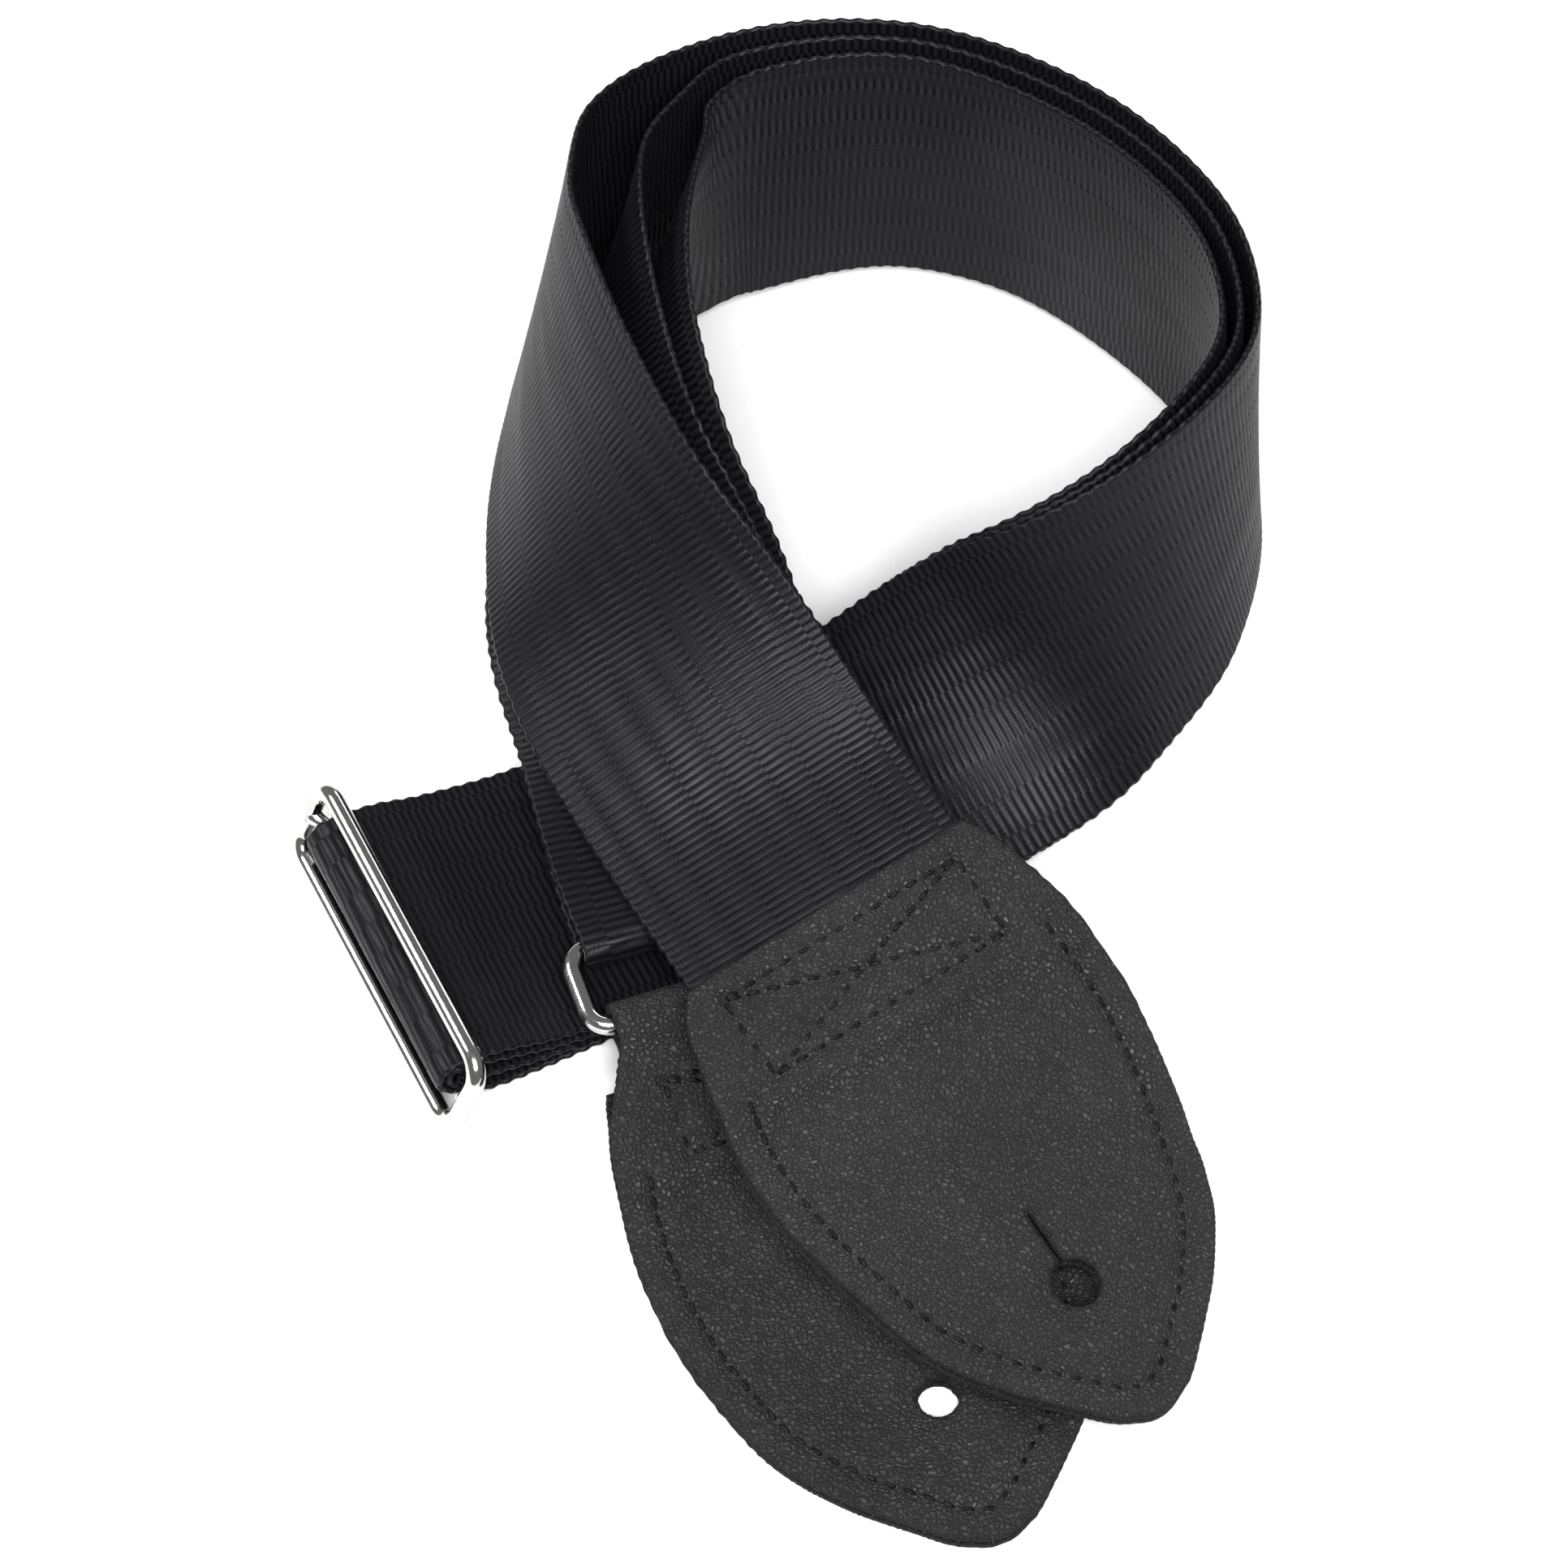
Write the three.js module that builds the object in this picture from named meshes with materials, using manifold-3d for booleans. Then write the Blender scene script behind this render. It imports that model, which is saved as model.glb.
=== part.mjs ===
// Guitar strap: one long strip of 2-inch webbing, folded in half at its wire slider and looped once,
// with a leather end tab sewn to its front end and a second one hung from a wire ring at its rear end.
// Millimetres, +Z up. The strap lies on the plane z = 0, as it is laid down for storage.
//
// The webbing is one strip from the front tab, round the loop, through the slider, back round the
// loop, over the ring, and round the loop once more to the loop sewn on the slider's centre bar.
// It is split here into stretches, so that each one is a simple solid.
import * as THREE from 'three';
import { mergeVertices } from 'three/addons/utils/BufferGeometryUtils.js';
import Module from 'manifold-3d';

const wasm = await Module();
wasm.setup();

// ---- driving dimensions -------------------------------------------------------------------------
const WEBBING_WIDTH = 50;
const WEBBING_THICK = 1.2;
const LAYER_PITCH = 1.5; // between the middles of two layers that lie on each other
const GAP = 0.3; // between pieces that touch
const STEP = 6; // length of one facet along the webbing
const STRETCHES = [['', 0], ['left', 0.27], ['far', 0.52], ['right', 0.78], ['crossing', 1]];
const ORIGIN = new THREE.Vector3(0, -8.5, 0); // bottom centre of the strap, in the route's numbers

const WIRE_RADIUS = 1.6;
const SLIDER_LENGTH = 62; // outside, along the bars
const SLIDER_WIDTH = 18.7; // outside, across the bars
const SLIDER_CORNER = 4.2; // radius of the wire's middle line at a corner
const CENTRE_BAR_RADIUS = 1.3;
const CENTRE_BAR_SETBACK = 1.5; // the centre bar is welded behind the frame's plane
const RING_LENGTH = 58;
const RING_WIDTH = 17;
const RING_CORNER = 3.5;

const LEATHER_FRONT = 1.5;
const LEATHER_BACK = 1.4;
const TAB_LENGTH = 96;
const FRONT_HOLE = { radius: 4, fromHead: 72.3, slit: 13 }; // slit: its length, towards the head
const REAR_HOLE = { radius: 3.2, fromHead: 71.5, slit: 0 };
const SLIT_WIDTH = 0.6;
const CUTTER_LENGTH = 20; // long enough to go through any leather
const SEAT_RADIUS = 8; // of the pressed seat round each button hole
const SEAT_DEPTH = 0.25;
const SEWN_LENGTH = 24; // webbing or leather flap held inside a tab's head
const SEAM_INSET = 6; // from the tab's tip
const SEAM_SCALE = 0.83; // the seam's width against the tab's
const THREAD_WIDTH = 0.8;
const THREAD_THICK = 0.4;
const THREAD_RISE = 0.1; // more than the gap, because the threads' facets cross the leather's

// Half the tab's width against the distance from its head.
const TAB_OUTLINE = [
  [0, 25.5], [3, 27.6], [12, 30.6], [24, 33.2], [36, 34.4], [48, 33.8], [60, 31.4],
  [72, 27.2], [82, 20], [90, 11.6], [94, 7], [96, 3],
];

// ---- the webbing's route ------------------------------------------------------------------------
// Each station is x, y, z of the webbing's middle and its lean in degrees: 0 lies flat, 90 stands on
// its edge with its outer face turned away from the loop.
const OUTER_RUN = [
  [6.3, -34.7, 19.9, 10.5], [-5.6, -16.3, 22, 13], [-18.8, 2.6, 29.6, 27], [-29.8, 21.5, 35.6, 44.6],
  [-36.9, 46.5, 35.9, 60.9], [-39.5, 67.6, 34.1, 73.7], [-39.7, 77.9, 32.9, 79.9],
  [-34, 90, 30.5, 94.2], [-11.3, 107.7, 26.3, 103.5], [20.7, 111.9, 25.9, 102],
  [41.7, 104.8, 26.1, 99], [59.7, 90.5, 26.8, 98], [72.9, 71.8, 27.5, 94],
  [77.3, 53.3, 27.9, 86.5], [64.2, 25.3, 26.8, 67.6], [46.4, 11.3, 22, 52.3],
  [34.4, 6.4, 16.6, 33.6], [15.8, -1, 8.9, 10.3], [-4.7, -9.6, 4.4, 0.5], [-25.7, -19, 4.5, 0],
];
const FRONT_TAB_RUN = [ // on from the outer run's first station, to the front tab's tip
  [12.5, -44.6, 18.5, -8.5], [19.1, -54.7, 16.8, -4.5], [27.7, -69, 14, 3], [36.6, -82.9, 11.5, 8.6],
  [42.2, -91.4, 10, 8.6], [57.88, -115.2, 5.8, 8.6],
];
const SHARED_FROM = 8; // the inner layers follow the outer run from this station to its last one
const SPREAD = 1.1; // how much further apart the layers stand round the loop's far side, as a share
const START_SPREAD = 1; // the same where the inner layers come up to the outer one
const LEAN_IN = 1.33; // degrees that a layer leans in at its top there, to each mm of its depth
const MIDDLE_START = [ // on from the fold over the ring
  [-14.6, -11.5, 14.3, 3], [-18.9, 3, 18.6, 13], [-24.9, 17.3, 25.6, 25],
  [-30.7, 36.8, 31.3, 46.6], [-32.9, 60, 32.8, 60], [-31, 76, 32.2, 72], [-25.2, 88.2, 30.6, 88],
  [-18.6, 96.3, 28.9, 93],
];
const INNER_START = [
  [-14.4, -11.5, 10.3, 0], [-17.6, 3, 14, 11], [-21.5, 17, 21, 23],
  [-26.6, 38, 30, 45.4], [-27.2, 60, 32.3, 60], [-24, 75.5, 31.6, 71], [-18.8, 85.8, 30, 82],
  [-13.8, 93.3, 28.4, 91],
];

// The slider stands across the strap. SLIDER_OUT points away from the loop, SLIDER_BAR along its bars.
const SLIDER_PLACE = new THREE.Vector3(-60.2, -36.4, 0);
const SLIDER_OUT = new THREE.Vector3(-0.894, -0.448, 0).normalize();
const SLIDER_BAR = new THREE.Vector3(-0.448, 0.894, 0).normalize();
const UPPER_BAR_HEIGHT = 17.4;
const SLIDER_LEAN = 23; // degrees that the frame leans out from upright, going down
const WEAVE_START = 20; // from the upper bar to where the webbing's profiles through the slider begin

// The ring lies on the crossing. RING_FOLD_BAR is on the bar that the webbing folds over, and RING_BAR
// points along its bars.
const RING_FOLD_BAR = new THREE.Vector3(-8.8, -29.1, 10.3);
const RING_BAR = new THREE.Vector3(0.939, 0.342, -0.042).normalize();
const FOLD_LEAN = -2.4; // lean of the webbing where it leaves the fold
const FOLD_END = 3.4; // from the ring's bar to the end of the fold's profile
const RING_SLOPE = 5; // degrees that the ring drops from the webbing to the rear tab

// Middle line of the rear tab: distance from the ring's lower bar, drift to the right, height, lean.
const REAR_TAB_RUN = [
  [0, 0, 7, 2.9], [10, 0, 5.3, 1.9], [20, 0, 3.4, 0.9], [30, 0.3, 2.2, 0], [40, 0.7, 1.85, 0],
  [70, 2, 1.85, 0], [100, 3.3, 1.85, 0],
];
const REAR_TAB_HEAD = 4; // from the ring's bar to the edge of the rear tab's outline

// ---- colours and finishes -----------------------------------------------------------------------
const finish = (color, roughness, metalness) => new THREE.MeshStandardMaterial({ color, roughness, metalness });
const webbingBlack = () => finish(0x1b1c20, 0.55, 0);
const leatherBlack = () => finish(0x1a1918, 0.6, 0);
const suedeBlack = () => finish(0x141312, 0.9, 0);
const threadBlack = () => finish(0x0f0f10, 0.7, 0);
const nickel = () => finish(0xc9c7c2, 0.18, 1);

// ---- solids -------------------------------------------------------------------------------------
// A closed mesh from points and faces, turned so that its faces point out.
function closedMesh(points, faces) {
  let volume = 0;
  const triple = (a, b, c) => a.dot(new THREE.Vector3().crossVectors(b, c));
  for (const [a, b, c] of faces) volume += triple(points[a], points[b], points[c]);
  const index = faces.flatMap(([a, b, c]) => (volume > 0 ? [a, b, c] : [a, c, b]));
  const geometry = new THREE.BufferGeometry();
  geometry.setAttribute('position', new THREE.Float32BufferAttribute(points.flatMap((p) => p.toArray()), 3));
  geometry.setIndex(index);
  return geometry;
}

// A strip of oblong section: frames hold its middle, its width and normal directions, and its width.
function strip(frames, thickness) {
  const points = [];
  const faces = [];
  for (const f of frames) {
    for (const [side, face] of [[-1, -1], [1, -1], [1, 1], [-1, 1]]) {
      const corner = f.middle.clone().addScaledVector(f.across, (side * f.width) / 2);
      points.push(corner.addScaledVector(f.normal, (face * thickness) / 2));
    }
  }
  const quad = (a, b, c, d) => faces.push([a, b, c], [a, c, d]);
  for (let i = 0; i + 1 < frames.length; i += 1) {
    const a = 4 * i;
    const b = a + 4;
    quad(a, a + 1, b + 1, b);
    quad(a + 1, a + 2, b + 2, b + 1);
    quad(a + 3, b + 3, b + 2, a + 2); // the same diagonal as the lower face, so that layers nest
    quad(a + 3, a, b, b + 3);
  }
  const last = 4 * (frames.length - 1);
  quad(3, 2, 1, 0);
  quad(last, last + 1, last + 2, last + 3);
  return closedMesh(points, faces);
}

// A round wire along a closed line in the plane of the axes along and across.
function wireLoop(line, axes, centre, radius, sides) {
  const points = [];
  const faces = [];
  const count = line.length;
  for (const { at, out } of line) {
    const middle = centre.clone().addScaledVector(axes.along, at.x).addScaledVector(axes.across, at.y);
    const radial = axes.along.clone().multiplyScalar(out.x).addScaledVector(axes.across, out.y);
    for (let k = 0; k < sides; k += 1) {
      const angle = (2 * Math.PI * k) / sides;
      const point = middle.clone().addScaledVector(radial, radius * Math.cos(angle));
      points.push(point.addScaledVector(axes.normal, radius * Math.sin(angle)));
    }
  }
  for (let i = 0; i < count; i += 1) {
    const a = i * sides;
    const b = ((i + 1) % count) * sides;
    for (let k = 0; k < sides; k += 1) {
      const next = (k + 1) % sides;
      faces.push([a + k, a + next, b + next], [a + k, b + next, b + k]);
    }
  }
  return closedMesh(points, faces);
}

// The middle line of a wire bent to an oblong with round corners, with its outward directions.
function oblongLine(length, width, corner, perCorner) {
  const line = [];
  const inner = new THREE.Vector2(length / 2 - corner, width / 2 - corner);
  for (let c = 0; c < 4; c += 1) {
    const centre = new THREE.Vector2(c === 0 || c === 3 ? inner.x : -inner.x, c < 2 ? inner.y : -inner.y);
    for (let k = 0; k <= perCorner; k += 1) {
      const angle = (Math.PI / 2) * (c + k / perCorner);
      const out = new THREE.Vector2(Math.cos(angle), Math.sin(angle));
      line.push({ at: centre.clone().addScaledVector(out, corner), out });
    }
  }
  return line;
}

function toSolid(geometry) {
  const bare = geometry.clone();
  bare.deleteAttribute('normal');
  bare.deleteAttribute('uv');
  const merged = mergeVertices(bare, 1e-4);
  const vertProperties = new Float32Array(merged.attributes.position.array);
  const triVerts = new Uint32Array(merged.index.array);
  return new wasm.Manifold(new wasm.Mesh({ numProp: 3, vertProperties, triVerts }));
}

function toGeometry(solid) {
  const mesh = solid.getMesh();
  const geometry = new THREE.BufferGeometry();
  geometry.setAttribute('position', new THREE.BufferAttribute(new Float32Array(mesh.vertProperties), 3));
  geometry.setIndex(new THREE.BufferAttribute(new Uint32Array(mesh.triVerts), 1));
  return geometry;
}

// ---- routes -------------------------------------------------------------------------------------
// A smooth run through the stations: cubic stretches whose slopes come from the neighbours.
function smoothRun(stations) {
  const rows = stations.map((s) => new THREE.Vector4(...s));
  const spot = [0];
  for (let i = 1; i < rows.length; i += 1) {
    const [a, b] = [rows[i - 1], rows[i]];
    spot.push(spot[i - 1] + Math.hypot(b.x - a.x, b.y - a.y, b.z - a.z));
  }
  const secant = (i) => rows[i + 1].clone().sub(rows[i]).divideScalar(spot[i + 1] - spot[i]);
  const slope = rows.map((row, i) => {
    if (i === 0) return secant(0);
    if (i === rows.length - 1) return secant(i - 1);
    const before = spot[i] - spot[i - 1];
    const after = spot[i + 1] - spot[i];
    const weighted = secant(i - 1).multiplyScalar(after).add(secant(i).multiplyScalar(before));
    return weighted.divideScalar(before + after);
  });
  const at = (distance) => {
    let i = spot.findIndex((s) => s > distance) - 1;
    if (i < 0) i = rows.length - 2;
    const span = spot[i + 1] - spot[i];
    const t = (distance - spot[i]) / span;
    const row = rows[i].clone().multiplyScalar(2 * t ** 3 - 3 * t ** 2 + 1);
    row.addScaledVector(slope[i], (t ** 3 - 2 * t ** 2 + t) * span);
    row.addScaledVector(rows[i + 1], 3 * t ** 2 - 2 * t ** 3);
    return row.addScaledVector(slope[i + 1], (t ** 3 - t ** 2) * span);
  };
  return { at, spot, length: spot[spot.length - 1] };
}

const place = (row) => new THREE.Vector3(row.x, row.y, row.z);

// Middle, travel, width and normal directions at a distance along a smooth run. The normal points to
// the strap's outer face, which is the upper one where the strap lies flat.
function frameAt(run, distance, width = WEBBING_WIDTH) {
  const row = run.at(distance);
  const near = 0.05;
  const ahead = place(run.at(Math.min(distance + near, run.length)));
  const travel = ahead.sub(place(run.at(Math.max(distance - near, 0)))).normalize();
  const level = new THREE.Vector3().crossVectors(travel, new THREE.Vector3(0, 0, 1)).normalize();
  const rise = new THREE.Vector3().crossVectors(level, travel);
  const lean = THREE.MathUtils.degToRad(row.w);
  const across = level.multiplyScalar(Math.cos(lean)).addScaledVector(rise, Math.sin(lean));
  const normal = new THREE.Vector3().crossVectors(across, travel);
  return { middle: place(row), travel, across, normal, width };
}

// Frames from one distance to another along a run.
function framesAlong(run, from, to) {
  const count = Math.ceil((to - from) / STEP);
  return Array.from({ length: count + 1 }, (_, i) => frameAt(run, from + ((to - from) * i) / count));
}

// Eased from 0 to 1 between two distances.
const ease = (value, from, to) => THREE.MathUtils.smoothstep(value, from, to);

const station = (f, lean) => [f.middle.x, f.middle.y, f.middle.z, lean];

// Frames along a profile of [out, height] points through the slider or round a bar.
function profileFrames(points, base, out, up, across, width) {
  const curve = new THREE.CatmullRomCurve3(points.map(([x, z]) => new THREE.Vector3(x, z, 0)), false, 'centripetal');
  const count = Math.ceil(curve.getLength() / 1.1);
  return Array.from({ length: count + 1 }, (_, i) => {
    const p = curve.getPointAt(i / count);
    const t = curve.getTangentAt(i / count);
    const middle = base.clone().addScaledVector(out, p.x).addScaledVector(up, p.y);
    const travel = out.clone().multiplyScalar(t.x).addScaledVector(up, t.y);
    const normal = new THREE.Vector3().crossVectors(across, travel).normalize();
    return { middle, travel, across, normal, width };
  });
}

// Points on an arc about a centre, in degrees from the out direction towards up.
function arc(centre, radius, from, to, count) {
  return Array.from({ length: count + 1 }, (_, i) => {
    const angle = THREE.MathUtils.degToRad(from + ((to - from) * i) / count);
    return [centre[0] + radius * Math.cos(angle), centre[1] + radius * Math.sin(angle)];
  });
}

// ---- the model ----------------------------------------------------------------------------------
const group = new THREE.Group();
const strap = new THREE.Group();
strap.position.copy(ORIGIN).negate();
group.add(strap);

function add(name, geometry, material) {
  const mesh = new THREE.Mesh(geometry, material);
  mesh.name = name;
  strap.add(mesh);
}

const UP = new THREE.Vector3(0, 0, 1);

// ---- slider: outer frame of bent wire and the centre bar welded behind it
const leanOut = THREE.MathUtils.degToRad(SLIDER_LEAN);
const barSpacing = SLIDER_WIDTH - 2 * WIRE_RADIUS;
const upperBar = [0, UPPER_BAR_HEIGHT];
const sliderDown = [Math.sin(leanOut), -Math.cos(leanOut)];
const sliderFace = [Math.cos(leanOut), Math.sin(leanOut)];
const lowerBar = [sliderDown[0] * barSpacing, UPPER_BAR_HEIGHT + sliderDown[1] * barSpacing];
const centreBar = [
  (upperBar[0] + lowerBar[0]) / 2 - CENTRE_BAR_SETBACK * sliderFace[0],
  (upperBar[1] + lowerBar[1]) / 2 - CENTRE_BAR_SETBACK * sliderFace[1],
];

function inSlider([out, height]) {
  return SLIDER_PLACE.clone().addScaledVector(SLIDER_OUT, out).addScaledVector(UP, height);
}

function addSlider() {
  const middle = inSlider([(upperBar[0] + lowerBar[0]) / 2, (upperBar[1] + lowerBar[1]) / 2]);
  const across = SLIDER_OUT.clone().multiplyScalar(-sliderDown[0]).addScaledVector(UP, -sliderDown[1]);
  const normal = SLIDER_OUT.clone().multiplyScalar(sliderFace[0]).addScaledVector(UP, sliderFace[1]);
  const line = oblongLine(SLIDER_LENGTH - 2 * WIRE_RADIUS, barSpacing, SLIDER_CORNER, 6);
  const axes = { along: SLIDER_BAR, across, normal };
  add('slider_frame', wireLoop(line, axes, middle, WIRE_RADIUS, 12), nickel());
  const span = SLIDER_LENGTH - 4 * WIRE_RADIUS - 2 * GAP;
  const bar = new THREE.CylinderGeometry(CENTRE_BAR_RADIUS, CENTRE_BAR_RADIUS, span, 12);
  bar.applyQuaternion(new THREE.Quaternion().setFromUnitVectors(new THREE.Vector3(0, 1, 0), SLIDER_BAR));
  const at = inSlider(centreBar);
  bar.translate(at.x, at.y, at.z);
  add('slider_centre_bar', bar, nickel());
}

// ---- ring: bent wire, hung in the webbing's fold
const ringDrop = THREE.MathUtils.degToRad(RING_SLOPE);
const ringLevel = new THREE.Vector3().crossVectors(UP, RING_BAR).normalize();
const ringAcross = ringLevel.clone().multiplyScalar(Math.cos(ringDrop)).addScaledVector(UP, Math.sin(ringDrop));
const ringNormal = new THREE.Vector3().crossVectors(RING_BAR, ringAcross).normalize();
const ringSpacing = RING_WIDTH - 2 * WIRE_RADIUS;
const foldHug = WIRE_RADIUS + GAP + 0.1 + WEBBING_THICK / 2;
const tabBar = RING_FOLD_BAR.clone().addScaledVector(ringAcross, -ringSpacing);

function addRing() {
  const middle = RING_FOLD_BAR.clone().addScaledVector(ringAcross, -ringSpacing / 2);
  const line = oblongLine(RING_LENGTH - 2 * WIRE_RADIUS, ringSpacing, RING_CORNER, 6);
  const axes = { along: RING_BAR, across: ringAcross, normal: ringNormal };
  add('ring', wireLoop(line, axes, middle, WIRE_RADIUS, 12), nickel());
}

// ---- webbing
// Hands the outer run over to the slider's profile at a point level with the bars.
function sliderStation(out, height) {
  const p = inSlider([out, height]);
  return [p.x, p.y, p.z, 0];
}

// Where each layer meets its profile: [from the upper bar, height, height RUN_IN before it].
const WEAVE_UP = [-WEAVE_START, 7.4, 5.7];
const WEAVE_BACK = [-WEAVE_START, 1.3, 1.3];
const LOOP_START = [-WEAVE_START, 4.9, 3.7];
const LOOP_FLAP = [-WEAVE_START + 1.5, 3.2];
const RUN_IN = 7; // the webbing is in line with the slider over this length before its profile

const shared = smoothRun(OUTER_RUN);
const sharedStart = shared.spot[SHARED_FROM];
const sharedFrames = framesAlong(shared, sharedStart, shared.length);

// Two stations that lead away from the fold over the ring.
function foldStations(side) {
  return [FOLD_END + GAP, 8].map((d) => {
    const p = RING_FOLD_BAR.clone().addScaledVector(ringLevel, d).addScaledVector(UP, side * foldHug);
    return [p.x, p.y, p.z, FOLD_LEAN];
  });
}

// How loosely the layers lie at a share of the shared stretch: 1 on the far side, 0 at the crossing.
function looseness(share) {
  return 1 - ease(share, 0.2, 0.75);
}

function leanIn(share, depth) {
  return -LEAN_IN * depth * looseness(share);
}

// A frame at a share of the shared stretch, moved in to a layer's depth.
function moveIn(f, share, depth) {
  const spread = 1 + SPREAD * looseness(share) + START_SPREAD * (1 - ease(share, 0, 0.14));
  const turn = THREE.MathUtils.degToRad(leanIn(share, depth));
  return {
    ...f,
    middle: f.middle.clone().addScaledVector(f.normal, -depth * spread),
    across: f.across.clone().multiplyScalar(Math.cos(turn)).addScaledVector(f.normal, Math.sin(turn)),
    normal: f.normal.clone().multiplyScalar(Math.cos(turn)).addScaledVector(f.across, -Math.sin(turn)),
  };
}

// Frames of a whole layer: its own start, the stretch that all layers share, its end at the slider.
function layerFrames(start, depth, [out, height, near]) {
  const common = sharedFrames.map((f, i) => moveIn(f, i / (sharedFrames.length - 1), depth));
  const at = (i) => {
    const share = (shared.spot[i] - sharedStart) / (shared.length - sharedStart);
    return station(moveIn(frameAt(shared, shared.spot[i]), share, depth), OUTER_RUN[i][3] + leanIn(share, depth));
  };
  const first = smoothRun([...start, at(SHARED_FROM), at(SHARED_FROM + 1)]);
  const own = framesAlong(first, 0, first.spot[start.length]);
  const last = smoothRun([
    at(OUTER_RUN.length - 2), at(OUTER_RUN.length - 1),
    sliderStation(out - RUN_IN, near), sliderStation(out, height),
  ]);
  const end = framesAlong(last, last.spot[1], last.length);
  return [...own.slice(0, -1), ...common.slice(0, -1), ...end];
}

const outerFrames = layerFrames(OUTER_RUN.slice(0, SHARED_FROM), 0, WEAVE_UP);
const middleFrames = layerFrames([...foldStations(1), ...MIDDLE_START], LAYER_PITCH, LOOP_START);
const innerFrames = layerFrames([...foldStations(-1), ...INNER_START], 2 * LAYER_PITCH, WEAVE_BACK);

// Parts a layer into stretches at shares of its length, with a gap between them.
function addLayer(frames, name) {
  const cuts = STRETCHES.map(([, share]) => Math.round(share * (frames.length - 1)));
  STRETCHES.slice(1).forEach(([part], i) => {
    const piece = frames.slice(cuts[i], cuts[i + 1] + 1).map((f) => ({ ...f, middle: f.middle.clone() }));
    piece[0].middle.addScaledVector(piece[0].travel, GAP / 2);
    piece[piece.length - 1].middle.addScaledVector(piece[piece.length - 1].travel, -GAP / 2);
    add(`webbing_${name}_${part}`, strip(piece, WEBBING_THICK), webbingBlack());
  });
}

function addSliderWebbing() {
  const wrap = CENTRE_BAR_RADIUS + GAP + WEBBING_THICK + GAP + WEBBING_THICK / 2 + 0.1;
  const weave = [
    [WEAVE_UP[0] + GAP / 2, WEAVE_UP[1]], [-13, 9.5], [-6, 12.4],
    ...arc(centreBar, wrap, 96, -62, 7), [0.6, 3.7], [-4.5, 2.1], [-11, 1.5],
    [WEAVE_BACK[0] + GAP / 2, WEAVE_BACK[1]],
  ];
  const width = WEBBING_WIDTH;
  const across = SLIDER_BAR;
  const weaveFrames = profileFrames(weave, SLIDER_PLACE, SLIDER_OUT, UP, across, width);
  add('webbing_slider_weave', strip(weaveFrames, WEBBING_THICK), webbingBlack());
  const hug = CENTRE_BAR_RADIUS + GAP + WEBBING_THICK / 2;
  const loop = [
    [LOOP_START[0] + GAP / 2, LOOP_START[1]], [-14, 6.6], [-8, 8.9],
    ...arc(centreBar, hug, 105, -95, 7), [-5, 6.1], [-12, 4.4], LOOP_FLAP,
  ];
  const loopFrames = profileFrames(loop, SLIDER_PLACE, SLIDER_OUT, UP, across, width);
  add('webbing_sewn_loop', strip(loopFrames, WEBBING_THICK), webbingBlack());
}

function addRingFold() {
  const towards = ringLevel.clone().negate();
  const upright = new THREE.Vector3().crossVectors(RING_BAR, ringLevel).normalize();
  const fold = [[-FOLD_END, -foldHug], ...arc([0, 0], foldHug, -90, 90, 8), [-FOLD_END, foldHug]];
  const frames = profileFrames(fold, RING_FOLD_BAR, towards, upright, RING_BAR, WEBBING_WIDTH);
  add('webbing_ring_fold', strip(frames, WEBBING_THICK), webbingBlack());
}

// ---- tabs
const outlineCurve = smoothRun(TAB_OUTLINE.map(([y, x]) => [y, x, 0, 0]));

// Half the tab's width at a distance from its head, read off the smooth outline.
function halfWidth(fromHead) {
  let low = 0;
  let high = outlineCurve.length;
  for (let i = 0; i < 30; i += 1) {
    const mid = (low + high) / 2;
    if (outlineCurve.at(mid).x < fromHead) low = mid;
    else high = mid;
  }
  return outlineCurve.at(low).y;
}


// Distances from the head at which the tab's solids get a row of corners, closer near the tip.
function tabRows(from, to) {
  const count = 30;
  return Array.from({ length: count + 1 }, (_, i) => from + (to - from) * (1 - (1 - i / count) ** 1.5));
}

// A tab's run, with the distance of its head edge along it.
function tabFrame(tab, fromHead, height, width) {
  const f = frameAt(tab.run, Math.min(tab.head + fromHead, tab.run.length), width);
  f.middle.addScaledVector(f.normal, height);
  return f;
}

function leather(tab, height, from, to) {
  return tabRows(from, to).map((d) => tabFrame(tab, d, height(d), 2 * halfWidth(d)));
}

// A round cutter square to a tab at a distance from its head, centred at a height over its run.
function roundCutter(tab, radius, fromHead, height) {
  const f = tabFrame(tab, fromHead, height, 0);
  const turn = new THREE.Matrix4().makeBasis(f.across, f.travel, f.normal).setPosition(f.middle);
  return toSolid(new THREE.CylinderGeometry(radius, radius, CUTTER_LENGTH, 24).rotateX(Math.PI / 2).applyMatrix4(turn));
}

// Presses the button's seat into the front of a leather whose middle is at a height over its run.
function pressSeat(tab, geometry, { fromHead }, height) {
  const floor = height + LEATHER_FRONT / 2 - SEAT_DEPTH;
  const cutter = roundCutter(tab, SEAT_RADIUS, fromHead, floor + CUTTER_LENGTH / 2);
  return toGeometry(toSolid(geometry).subtract(cutter));
}

// Cuts the button hole, and its slit if it has one, right through a leather.
function cutHole(tab, geometry, { radius, fromHead, slit }) {
  let solid = toSolid(geometry).subtract(roundCutter(tab, radius, fromHead, 0));
  if (slit > 0) {
    const f = tabFrame(tab, fromHead, 0, 0);
    const turn = new THREE.Matrix4().makeBasis(f.across, f.travel, f.normal).setPosition(f.middle);
    const cut = new THREE.BoxGeometry(SLIT_WIDTH, slit, CUTTER_LENGTH);
    cut.translate(0, -slit / 2, 0).applyMatrix4(turn);
    solid = solid.subtract(toSolid(cut));
  }
  return toGeometry(solid);
}

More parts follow.
